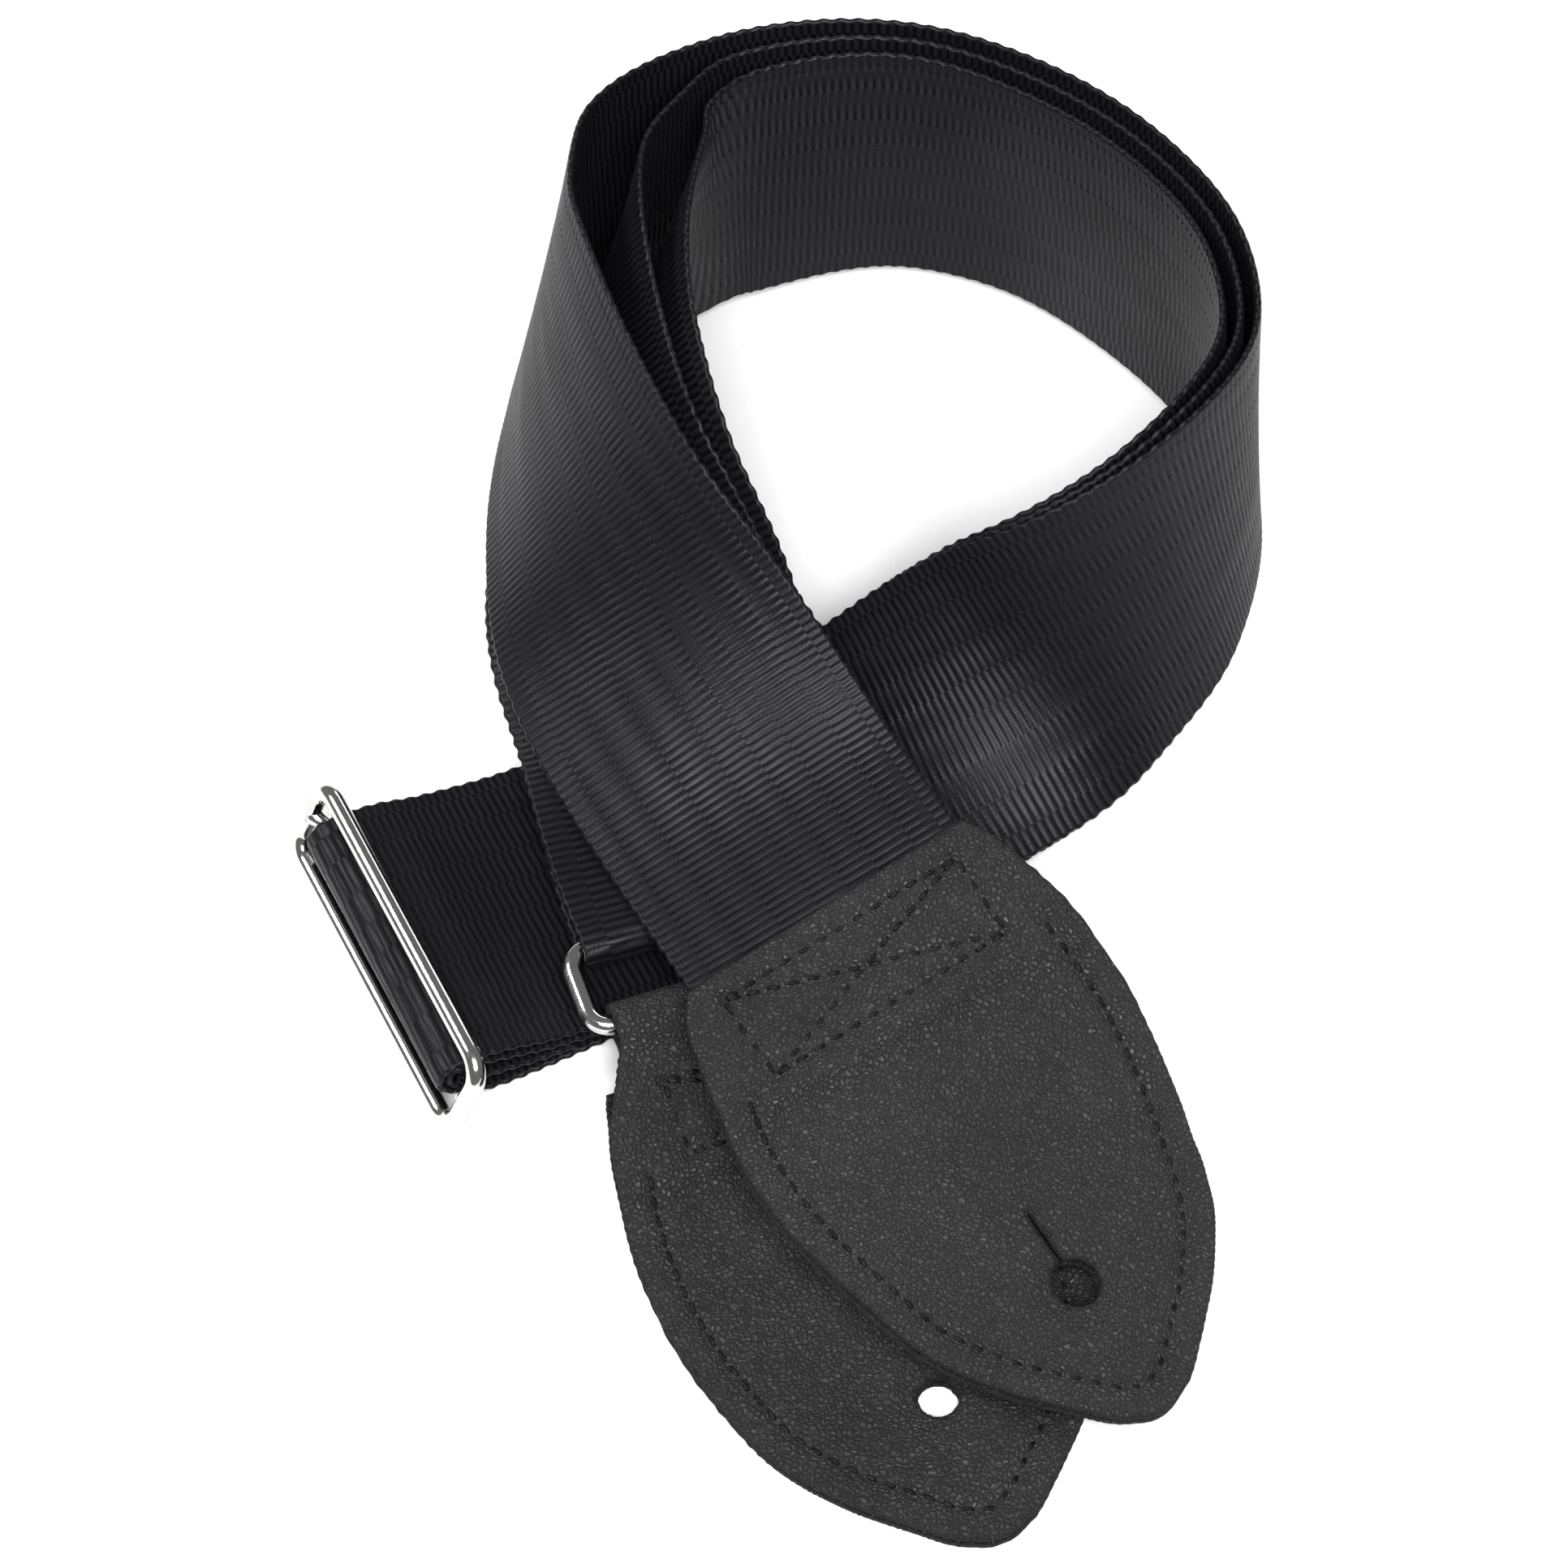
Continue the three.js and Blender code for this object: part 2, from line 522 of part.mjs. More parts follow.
// A flat thread along points given as [from the middle, from the head], just over the front leather.
function threadLine(tab, height, points) {
  return points.map(([x, d], i) => {
    const f = tabFrame(tab, d, 0, THREAD_WIDTH);
    const [x2, d2] = points[Math.min(i + 1, points.length - 1)];
    const [x1, d1] = points[Math.max(i - 1, 0)];
    const along = f.across.clone().multiplyScalar(x2 - x1).addScaledVector(f.travel, d2 - d1).normalize();
    f.middle.addScaledVector(f.across, x).addScaledVector(f.normal, height(d));
    f.across = new THREE.Vector3().crossVectors(along, f.normal);
    return f;
  });
}

function between([x1, d1], [x2, d2], count) {
  return Array.from({ length: count + 1 }, (_, i) => [x1 + ((x2 - x1) * i) / count, d1 + ((d2 - d1) * i) / count]);
}

// The seam round the edge of a tab, open at the head, as one thread: the outline made smaller.
function edgeSeam(tab, height, from) {
  const count = 26;
  const tip = TAB_LENGTH - SEAM_INSET;
  const side = (sign) => Array.from({ length: count + 1 }, (_, i) => {
    const d = from + (tip - from) * Math.sin((Math.PI / 2) * (i / count));
    return [sign * SEAM_SCALE * halfWidth((d * TAB_LENGTH) / tip), d];
  });
  return strip(threadLine(tab, height, [...side(-1), ...side(1).reverse()]), THREAD_THICK);
}

// The box stitch with its cross, joined into one thread.
function boxStitch(tab, height, near, far, half) {
  const corners = [[-half, near], [half, near], [half, far], [-half, far]];
  const lines = [[0, 1], [1, 2], [2, 3], [3, 0], [0, 2], [1, 3]];
  const solids = lines.map(([a, b]) => {
    return toSolid(strip(threadLine(tab, height, between(corners[a], corners[b], 8)), THREAD_THICK));
  });
  return toGeometry(solids.reduce((sum, solid) => sum.add(solid)));
}

function addFrontTab() {
  // The tab goes on from the webbing's end, eased down to its tip. It travels the other way, so that
  // the outer run's leans change sign.
  const turned = ([x, y, z, lean]) => [x, y, z, -lean];
  const run = smoothRun([turned(OUTER_RUN[1]), turned(OUTER_RUN[0]), ...FRONT_TAB_RUN]);
  const tab = { run, head: run.spot[1] + GAP };
  const overWebbing = WEBBING_THICK / 2 + GAP + LEATHER_FRONT / 2;
  const backHeight = -(WEBBING_THICK / 2 + GAP + LEATHER_BACK / 2);
  const onBack = backHeight + LEATHER_BACK / 2 + GAP + 0.1 + LEATHER_FRONT / 2;
  const front = (d) => overWebbing + (onBack - overWebbing) * ease(d, SEWN_LENGTH + 1, SEWN_LENGTH + 4);
  const back = () => backHeight;
  const overFront = (d) => front(d) + LEATHER_FRONT / 2 + GAP + THREAD_THICK / 2 + THREAD_RISE;
  const plain = strip(leather(tab, front, 0, TAB_LENGTH), LEATHER_FRONT);
  const frontLeather = pressSeat(tab, plain, FRONT_HOLE, onBack);
  const backLeather = strip(leather(tab, back, 0, TAB_LENGTH), LEATHER_BACK);
  const end = leather(tab, () => 0, 0, TAB_LENGTH).filter((f, i) => tabRows(0, TAB_LENGTH)[i] < SEWN_LENGTH);
  end.forEach((f) => Object.assign(f, { width: WEBBING_WIDTH }));
  add('webbing_front_end', strip(end, WEBBING_THICK), webbingBlack());
  add('front_tab_leather', cutHole(tab, frontLeather, FRONT_HOLE), leatherBlack());
  add('front_tab_backing', cutHole(tab, backLeather, FRONT_HOLE), suedeBlack());
  add('front_tab_edge_thread', edgeSeam(tab, overFront, 5), threadBlack());
  add('front_tab_box_thread', boxStitch(tab, overFront, 4, SEWN_LENGTH - 6, 19), threadBlack());
}

function addRearTab() {
  // The tab hangs from the ring's lower bar and lies flat from the middle on.
  const down = ringLevel.clone().negate();
  const run = smoothRun(REAR_TAB_RUN.map(([distance, drift, z, lean]) => {
    const at = tabBar.clone().addScaledVector(down, distance).addScaledVector(RING_BAR, drift);
    return [at.x, at.y, z, lean];
  }));
  const tab = { run, head: REAR_TAB_HEAD };
  const flapHeight = GAP / 2 + LEATHER_FRONT / 2;
  const overFlap = flapHeight + LEATHER_FRONT + GAP;
  const front = (d) => overFlap + (flapHeight - overFlap) * ease(d, SEWN_LENGTH - 3, SEWN_LENGTH);
  const back = () => -(GAP / 2 + LEATHER_BACK / 2);
  const overFront = (d) => front(d) + LEATHER_FRONT / 2 + GAP + THREAD_THICK / 2 + THREAD_RISE;
  const main = leather(tab, front, 2.5, TAB_LENGTH).reverse();
  const flapEnd = SEWN_LENGTH - 5;
  const flap = [3, 8, flapEnd].map((d) => tabFrame(tab, d, flapHeight, WEBBING_WIDTH - 2));
  const hug = WIRE_RADIUS + GAP + 0.1 + LEATHER_FRONT / 2;
  const up = new THREE.Vector3().crossVectors(RING_BAR, ringLevel).normalize();
  const wrap = arc([0, 0], hug, 110, -110, 14).map(([x, z]) => {
    const normal = ringLevel.clone().multiplyScalar(x / hug).addScaledVector(up, z / hug);
    const middle = tabBar.clone().addScaledVector(normal, hug);
    return { middle, across: RING_BAR.clone(), normal, width: WEBBING_WIDTH - 1 };
  });
  main.forEach((f) => f.across.negate());
  flap.forEach((f) => f.normal.negate());
  flap.forEach((f) => f.across.negate());
  const frontLeather = pressSeat(tab, strip([...main, ...wrap, ...flap], LEATHER_FRONT), REAR_HOLE, flapHeight);
  add('rear_tab_leather', cutHole(tab, frontLeather, REAR_HOLE), leatherBlack());
  const backLeather = strip(leather(tab, back, 5, TAB_LENGTH), LEATHER_BACK);
  add('rear_tab_backing', cutHole(tab, backLeather, REAR_HOLE), suedeBlack());
  add('rear_tab_edge_thread', edgeSeam(tab, overFront, 7), threadBlack());
  add('rear_tab_box_thread', boxStitch(tab, overFront, 5, SEWN_LENGTH - 7, 19), threadBlack());
}

addSlider();
addRing();
addLayer(outerFrames, 'outer');
addSliderWebbing();
addLayer(innerFrames, 'inner');
addRingFold();
addLayer(middleFrames, 'middle');
addFrontTab();
addRearTab();

export default group;
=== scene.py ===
import math

import bpy
import numpy as np
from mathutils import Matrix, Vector
from mathutils.geometry import delaunay_2d_cdt


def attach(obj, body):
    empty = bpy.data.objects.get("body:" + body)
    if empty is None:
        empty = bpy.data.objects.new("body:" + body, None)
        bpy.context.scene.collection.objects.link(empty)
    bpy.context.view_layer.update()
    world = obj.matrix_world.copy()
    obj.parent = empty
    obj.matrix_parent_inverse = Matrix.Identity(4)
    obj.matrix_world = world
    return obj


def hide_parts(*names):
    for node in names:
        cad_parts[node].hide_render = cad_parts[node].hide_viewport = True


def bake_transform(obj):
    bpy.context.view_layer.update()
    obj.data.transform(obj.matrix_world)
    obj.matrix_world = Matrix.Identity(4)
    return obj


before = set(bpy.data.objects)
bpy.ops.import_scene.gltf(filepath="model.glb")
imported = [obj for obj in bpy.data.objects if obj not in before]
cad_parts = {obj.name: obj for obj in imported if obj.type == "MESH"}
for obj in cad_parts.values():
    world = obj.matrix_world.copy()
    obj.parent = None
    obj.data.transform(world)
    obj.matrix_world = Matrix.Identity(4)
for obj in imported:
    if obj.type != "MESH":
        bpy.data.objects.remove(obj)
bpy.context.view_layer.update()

MM = 0.001
ORIGIN = np.array([0.0, -8.5, 0.0])  # the frame's origin in the route's numbers
UP = np.array([0.0, 0.0, 1.0])
RNG = np.random.default_rng(7)

# ---- sizes, as in the CAD -------------------------------------------------------------------------
WEBBING_WIDTH = 50.0
WEBBING_THICK = 1.2
LAYER_PITCH = 1.5
GAP = 0.3
WIRE_RADIUS = 1.6
SLIDER_LENGTH = 62.0
SLIDER_WIDTH = 18.7
SLIDER_CORNER = 4.2
CENTRE_BAR_RADIUS = 1.3
CENTRE_BAR_SETBACK = 1.5
RING_LENGTH = 58.0
RING_WIDTH = 17.0
RING_CORNER = 3.5
LEATHER_FRONT = 1.5
LEATHER_BACK = 1.4
TAB_LENGTH = 96.0
SEWN_LENGTH = 24.0
FRONT_HOLE = {"radius": 4.0, "from_head": 72.3, "slit": 13.0}
REAR_HOLE = {"radius": 3.2, "from_head": 71.5, "slit": 0.0}
SLIT_HALF_WIDTH = 0.25
TAB_OUTLINE = [
    (0, 25.5), (3, 27.6), (12, 30.6), (24, 33.2), (36, 34.4), (48, 33.8), (60, 31.4),
    (72, 27.2), (82, 20), (90, 11.6), (94, 7), (96, 3),
]

# ---- the webbing's route, as in the CAD: x, y, z and lean of the webbing's middle ------------------
OUTER_RUN = [
    (6.3, -34.7, 19.9, 10.5), (-5.6, -16.3, 22, 13), (-18.8, 2.6, 29.6, 27), (-29.8, 21.5, 35.6, 44.6),
    (-36.9, 46.5, 35.9, 60.9), (-39.5, 67.6, 34.1, 73.7), (-39.7, 77.9, 32.9, 79.9),
    (-34, 90, 30.5, 94.2), (-11.3, 107.7, 26.3, 103.5), (20.7, 111.9, 25.9, 102),
    (41.7, 104.8, 26.1, 99), (59.7, 90.5, 26.8, 98), (72.9, 71.8, 27.5, 94),
    (77.3, 53.3, 27.9, 86.5), (64.2, 25.3, 26.8, 67.6), (46.4, 11.3, 22, 52.3),
    (34.4, 6.4, 16.6, 33.6), (15.8, -1, 8.9, 10.3), (-4.7, -9.6, 4.4, 0.5), (-25.7, -19, 4.5, 0),
]
FRONT_TAB_RUN = [
    (12.5, -44.6, 18.5, -8.5), (19.1, -54.7, 16.8, -4.5), (27.7, -69, 14, 3), (36.6, -82.9, 11.5, 8.6),
    (42.2, -91.4, 10, 8.6), (57.88, -115.2, 5.8, 8.6),
]
SHARED_FROM = 8
SPREAD = 1.1
START_SPREAD = 1.0
LEAN_IN = 1.33
MIDDLE_START = [
    (-14.6, -11.5, 14.3, 3), (-18.9, 3, 18.6, 13), (-24.9, 17.3, 25.6, 25),
    (-30.7, 36.8, 31.3, 46.6), (-32.9, 60, 32.8, 60), (-31, 76, 32.2, 72), (-25.2, 88.2, 30.6, 88),
    (-18.6, 96.3, 28.9, 93),
]
INNER_START = [
    (-14.4, -11.5, 10.3, 0), (-17.6, 3, 14, 11), (-21.5, 17, 21, 23),
    (-26.6, 38, 30, 45.4), (-27.2, 60, 32.3, 60), (-24, 75.5, 31.6, 71), (-18.8, 85.8, 30, 82),
    (-13.8, 93.3, 28.4, 91),
]
SLIDER_PLACE = np.array([-60.2, -36.4, 0.0])
SLIDER_OUT = np.array([-0.894, -0.448, 0.0])
SLIDER_BAR = np.array([-0.448, 0.894, 0.0])
UPPER_BAR_HEIGHT = 17.4
SLIDER_LEAN = math.radians(23)
WEAVE_START = 20.0
RING_FOLD_BAR = np.array([-8.8, -29.1, 10.3])
RING_BAR = np.array([0.939, 0.342, -0.042])
FOLD_LEAN = -2.4
FOLD_END = 3.4
RING_SLOPE = math.radians(5)
REAR_TAB_RUN = [  # distance from the ring's lower bar, drift to the right, height, lean
    (0, 0, 7, 2.9), (10, 0, 5.3, 1.9), (20, 0, 3.4, 0.9), (30, 0.3, 2.2, 0), (40, 0.7, 1.85, 0),
    (70, 2, 1.85, 0), (100, 3.3, 1.85, 0),
]
REAR_TAB_HEAD = 4.0
WEAVE_UP = (-WEAVE_START, 7.4, 5.7)
WEAVE_BACK = (-WEAVE_START, 1.3, 1.3)
LOOP_START = (-WEAVE_START, 4.9, 3.7)
LOOP_FLAP = (-WEAVE_START + 1.5, 3.2)
RUN_IN = 7.0

# ---- the look's own sizes --------------------------------------------------------------------------
RIB_PITCH = 1.36
RIB_DEPTH = 0.24
RIB_SAMPLES = 4  # rows of points to a rib
RIB_ROUNDNESS = 0.8  # below 1 broadens a rib's crest
COLUMN_WIDTH = 6.1  # of the bands over which the ribs run unbroken
COLUMN_STEP = 0.12  # half the distance over which the ribs shift at the edge of a band
SELVEDGE_LOOP = 0.34  # how far the weft's loops stand out of the edge, one to every second rib
SELVEDGE_ANGLES = (60, 25, 0, -25, -60)  # round the webbing's edge, in degrees
STITCH_PITCH = 3.1
STITCH_LENGTH = 2.3
STITCH_RADIUS = 0.36
SEAM_INSET = 5.2
LEATHER_STEP = 0.9
OUTLINE_STEP = 0.45
EDGE_ROUNDING = 0.7  # how far in from its cut edges a leather reaches its whole thickness
EDGE_JITTER = 0.14

# ---- camera ----------------------------------------------------------------------------------------
CAMERA_ELEVATION = math.radians(59.05)
CAMERA_DISTANCE = 1000.0
CAMERA_LENS = 140.7
LIGHT_AIM = (0.0, 0.0, 0.02)


def to_frame(points):
    """Millimetres in the route's numbers to metres in the frame."""
    return (np.asarray(points, float) - ORIGIN) * MM


def add_camera():
    data = bpy.data.cameras.new("camera")
    camera = bpy.data.objects.new("camera", data)
    bpy.context.scene.collection.objects.link(camera)
    back = np.array([0.0, -math.cos(CAMERA_ELEVATION), math.sin(CAMERA_ELEVATION)])
    camera.location = Vector(to_frame(back * CAMERA_DISTANCE))
    camera.rotation_euler = (math.pi / 2 - CAMERA_ELEVATION, 0.0, 0.0)
    data.lens = CAMERA_LENS
    data.sensor_width = 36.0
    data.clip_start = 0.05
    data.clip_end = 20.0
    bpy.context.scene.camera = camera


# ---- materials -------------------------------------------------------------------------------------
class Shader:
    """A node material on one Principled shader, with short calls for the nodes this scene uses."""

    def __init__(self, name):
        self.material = bpy.data.materials.new(name)
        self.material.use_nodes = True
        self.tree = self.material.node_tree
        self.surface = self.tree.nodes["Principled BSDF"]

    def node(self, kind, **values):
        made = self.tree.nodes.new(kind)
        for key, value in values.items():
            if key in made.inputs:
                made.inputs[key].default_value = value
            else:
                setattr(made, key, value)
        return made

    def link(self, out, to):
        self.tree.links.new(out, to)

    def set(self, **values):
        for key, value in values.items():
            self.surface.inputs[key.replace("_", " ")].default_value = value

    def noise(self, where, scale, detail=3.0, roughness=0.55):
        made = self.node("ShaderNodeTexNoise", Scale=scale, Detail=detail, Roughness=roughness)
        self.link(where, made.inputs["Vector"])
        return made.outputs["Fac"]

    def ramp(self, value, stops):
        made = self.node("ShaderNodeValToRGB")
        elements = made.color_ramp.elements
        while len(elements) < len(stops):
            elements.new(0.5)
        for element, (place, colour) in zip(elements, stops):
            element.position = place
            element.color = (*colour, 1.0)
        self.link(value, made.inputs["Fac"])
        return made.outputs["Color"]

    def math(self, operation, a, b):
        made = self.node("ShaderNodeMath", operation=operation)
        for socket, value in zip(made.inputs, (a, b)):
            if isinstance(value, (int, float)):
                socket.default_value = value
            else:
                self.link(value, socket)
        return made.outputs[0]

    def span(self, value, low, high, to_low, to_high):
        made = self.node("ShaderNodeMapRange")
        for key, number in (("From Min", low), ("From Max", high), ("To Min", to_low), ("To Max", to_high)):
            made.inputs[key].default_value = number
        self.link(value, made.inputs["Value"])
        return made.outputs["Result"]

    def mix(self, share, a, b):
        made = self.node("ShaderNodeMix", data_type="RGBA")
        self.link(share, made.inputs[0])
        for socket, value in ((made.inputs[6], a), (made.inputs[7], b)):
            if isinstance(value, tuple):
                socket.default_value = (*value, 1.0)
            else:
                self.link(value, socket)
        return made.outputs[2]

    def bump(self, height, distance, strength=1.0, after=None):
        made = self.node("ShaderNodeBump", Strength=strength, Distance=distance)
        self.link(height, made.inputs["Height"])
        if after is not None:
            self.link(after, made.inputs["Normal"])
        return made.outputs["Normal"]


def webbing_material():
    """Black nylon: strands along the webbing inside the ribs, bands with a faintly different sheen, and a
    bluish painted highlight on the ribs' crests with painted shade in the valleys between them.
    """
    s = Shader("webbing_nylon")
    coordinates = s.node("ShaderNodeTexCoord")
    uv, solid = coordinates.outputs["UV"], coordinates.outputs["Object"]
    strands = s.node("ShaderNodeTexWave", bands_direction="X", Scale=1150.0 / math.pi)
    s.link(uv, strands.inputs["Vector"])
    threads = s.noise(uv, 1500.0, 2.0)
    stretched = s.node("ShaderNodeMapping")
    stretched.inputs["Scale"].default_value = (170.0, 14.0, 1.0)
    s.link(uv, stretched.inputs["Vector"])
    bands = s.noise(stretched.outputs["Vector"], 1.0, 2.0)
    blotches = s.noise(solid, 26.0, 4.0)
    # Painted light: the ribs' crests get a lighter, bluish colour (painted highlight) and the valleys a
    # darker one (painted shade).
    rib_crest_light = s.node("ShaderNodeAttribute", attribute_name="rib_crest_light").outputs["Fac"]
    low = s.ramp(bands, [(0.3, (0.0008, 0.0008, 0.0011)), (0.72, (0.0016, 0.0016, 0.0022))])
    high = s.ramp(blotches, [(0.3, (0.0070, 0.0071, 0.0090)), (0.7, (0.0120, 0.0122, 0.0158))])
    s.link(s.mix(rib_crest_light, low, high), s.surface.inputs["Base Color"])
    shine = s.math("MULTIPLY", bands, blotches)
    s.link(s.span(shine, 0.12, 0.42, 0.46, 0.3), s.surface.inputs["Roughness"])
    normal = s.bump(strands.outputs["Fac"], 0.00005, 0.12)
    s.link(s.bump(threads, 0.00005, 0.4, normal), s.surface.inputs["Normal"])
    s.set(Sheen_Weight=0.012, Sheen_Roughness=0.3, Sheen_Tint=(0.72, 0.76, 0.9, 1.0), IOR=1.22)
    return s.material


def leather_material(name, dark, light, sheen):
    """Pebbled leather: cells of grain with creases between them, the creases painted darker than the cells'
    tops as painted shade.
    """
    s = Shader(name)
    where = s.node("ShaderNodeTexCoord").outputs["Object"]
    warp = s.node("ShaderNodeTexNoise", Scale=420.0, Detail=2.0)
    s.link(where, warp.inputs["Vector"])
    shifted = s.node("ShaderNodeMix", data_type="VECTOR")
    shifted.inputs[0].default_value = 0.0012
    s.link(where, shifted.inputs[4])
    s.link(warp.outputs["Color"], shifted.inputs[5])
    cells = s.node("ShaderNodeTexVoronoi", feature="DISTANCE_TO_EDGE", Scale=1150.0)
    s.link(shifted.outputs[1], cells.inputs["Vector"])
    pebble = s.span(cells.outputs["Distance"], 0.0, 0.3, 0.0, 1.0)
    swell = s.noise(where, 330.0, 4.0)
    fine = s.noise(where, 2300.0, 3.0)
    patches = s.noise(where, 45.0, 5.0)
    # Random patches of tone times the pebble's painted shade: darker in the creases between the cells,
    # lighter on their tops.
    tone = s.math("MULTIPLY", s.span(patches, 0.3, 0.7, 0.55, 1.0), s.span(pebble, 0.0, 1.0, 0.5, 1.0))
    edge = s.node("ShaderNodeAttribute", attribute_name="cut").outputs["Fac"]
    skin = s.mix(tone, dark, light)
    fibre = s.ramp(fine, [(0.35, (0.003, 0.0029, 0.0028)), (0.7, (0.014, 0.0135, 0.013))])
    s.link(s.mix(edge, skin, fibre), s.surface.inputs["Base Color"])
    gloss = s.math("ADD", s.span(patches, 0.3, 0.7, 0.0, -0.08), s.span(pebble, 0.0, 1.0, 0.62, 0.42))
    s.link(s.math("MAXIMUM", gloss, s.math("MULTIPLY", edge, 0.95)), s.surface.inputs["Roughness"])
    normal = s.bump(swell, 0.0006, 0.45)
    normal = s.bump(pebble, 0.0003, 0.9, normal)
    s.link(s.bump(fine, 0.00006, 0.5, normal), s.surface.inputs["Normal"])
    s.set(Sheen_Weight=sheen, Sheen_Roughness=0.5, Sheen_Tint=(0.8, 0.8, 0.82, 1.0), IOR=1.3)
    return s.material


def thread_material():
    """Waxed black thread with its twist."""
    s = Shader("thread_nylon")
    where = s.node("ShaderNodeTexCoord").outputs["Object"]
    twist = s.node("ShaderNodeTexWave", bands_direction="DIAGONAL", Scale=420.0, Distortion=1.0)
    s.link(where, twist.inputs["Vector"])
    tone = s.noise(where, 700.0, 3.0)
    colour = s.ramp(tone, [(0.3, (0.002, 0.002, 0.0025)), (0.7, (0.007, 0.007, 0.008))])
    s.link(colour, s.surface.inputs["Base Color"])
    s.link(s.span(tone, 0.3, 0.7, 0.42, 0.62), s.surface.inputs["Roughness"])
    s.link(s.bump(twist.outputs["Fac"], 0.00012, 0.6), s.surface.inputs["Normal"])
    s.set(IOR=1.25)
    return s.material


def wire_material():
    """Polished nickel plate with faint drawing lines and handling marks."""
    s = Shader("wire_nickel")
    where = s.node("ShaderNodeTexCoord").outputs["Object"]
    marks = s.noise(where, 900.0, 6.0, 0.7)
    cloud = s.noise(where, 60.0, 3.0)
    colour = s.ramp(cloud, [(0.3, (0.50, 0.495, 0.485)), (0.7, (0.60, 0.595, 0.585))])
    s.link(colour, s.surface.inputs["Base Color"])
    s.link(s.span(marks, 0.35, 0.7, 0.07, 0.2), s.surface.inputs["Roughness"])
    s.link(s.bump(marks, 0.00001, 0.25), s.surface.inputs["Normal"])
    s.set(Metallic=1.0)
    return s.material


def floor_material():
    s = Shader("floor_paper")
    where = s.node("ShaderNodeTexCoord").outputs["Object"]
    grain = s.noise(where, 300.0, 2.0)
    colour = s.ramp(grain, [(0.3, (0.93, 0.93, 0.93)), (0.7, (0.95, 0.95, 0.95))])
    s.link(colour, s.surface.inputs["Base Color"])
    s.set(Roughness=0.9, Specular_IOR_Level=0.1)
    return s.material


# ---- mesh making -----------------------------------------------------------------------------------
def make_piece(name, points, faces, material, body=None, slot=None, uv=None, facts=()):
    """A smooth mesh piece from millimetre points. facts are (attribute name, value per point)."""
    mesh = bpy.data.meshes.new(name)
    mesh.from_pydata(to_frame(points).tolist(), [], [tuple(f) for f in faces])
    mesh.polygons.foreach_set("use_smooth", np.ones(len(mesh.polygons), bool))
    for fact, values in facts:
        attribute = mesh.attributes.new(fact, "FLOAT", "POINT")
        attribute.data.foreach_set("value", np.asarray(values, np.float32))
    if uv is not None:
        layer = mesh.uv_layers.new(name="route")
        corners = np.zeros(len(mesh.loops), np.int32)
        mesh.loops.foreach_get("vertex_index", corners)
        layer.data.foreach_set("uv", (np.asarray(uv)[corners] * MM).astype(np.float32).ravel())
    mesh.materials.append(material)
    mesh.update()
    piece = bpy.data.objects.new(name, mesh)
    bpy.context.scene.collection.objects.link(piece)
    if body:
        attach(piece, body)
    return piece


def unit(vectors):
    return vectors / np.linalg.norm(vectors, axis=-1, keepdims=True)


def ease(value, start, stop):
    t = np.clip((value - start) / (stop - start), 0, 1)
    return t * t * (3 - 2 * t)


def looseness(share):
    """How loosely the layers lie at a share of the stretch that they share."""
    return 1 - ease(share, 0.2, 0.75)


def lean_in(share, depth):
    return -LEAN_IN * depth * looseness(share)


# ---- routes: the same smooth runs as the CAD's, sampled finely ----------------------------------------
class Run:
    """A smooth run through stations: cubic stretches whose slopes come from the neighbours."""

    def __init__(self, stations):
        self.rows = np.array(stations, float)
        chords = np.linalg.norm(np.diff(self.rows[:, :3], axis=0), axis=1)
        self.spots = np.concatenate([[0.0], np.cumsum(chords)])
        secants = np.diff(self.rows, axis=0) / chords[:, None]
        before, after = chords[:-1, None], chords[1:, None]
        inner = (secants[:-1] * after + secants[1:] * before) / (before + after)
        self.slopes = np.concatenate([secants[:1], inner, secants[-1:]])
        self.length = self.spots[-1]

    def at(self, distance):
        distance = np.atleast_1d(np.asarray(distance, float))
        i = np.clip(np.searchsorted(self.spots, distance, side="right") - 1, 0, len(self.rows) - 2)
        span = (self.spots[i + 1] - self.spots[i])[:, None]
        t = (distance[:, None] - self.spots[i][:, None]) / span
        row = self.rows[i] * (2 * t**3 - 3 * t**2 + 1)
        row = row + self.slopes[i] * (t**3 - 2 * t**2 + t) * span
        row = row + self.rows[i + 1] * (3 * t**2 - 2 * t**3)
        return row + self.slopes[i + 1] * (t**3 - t**2) * span


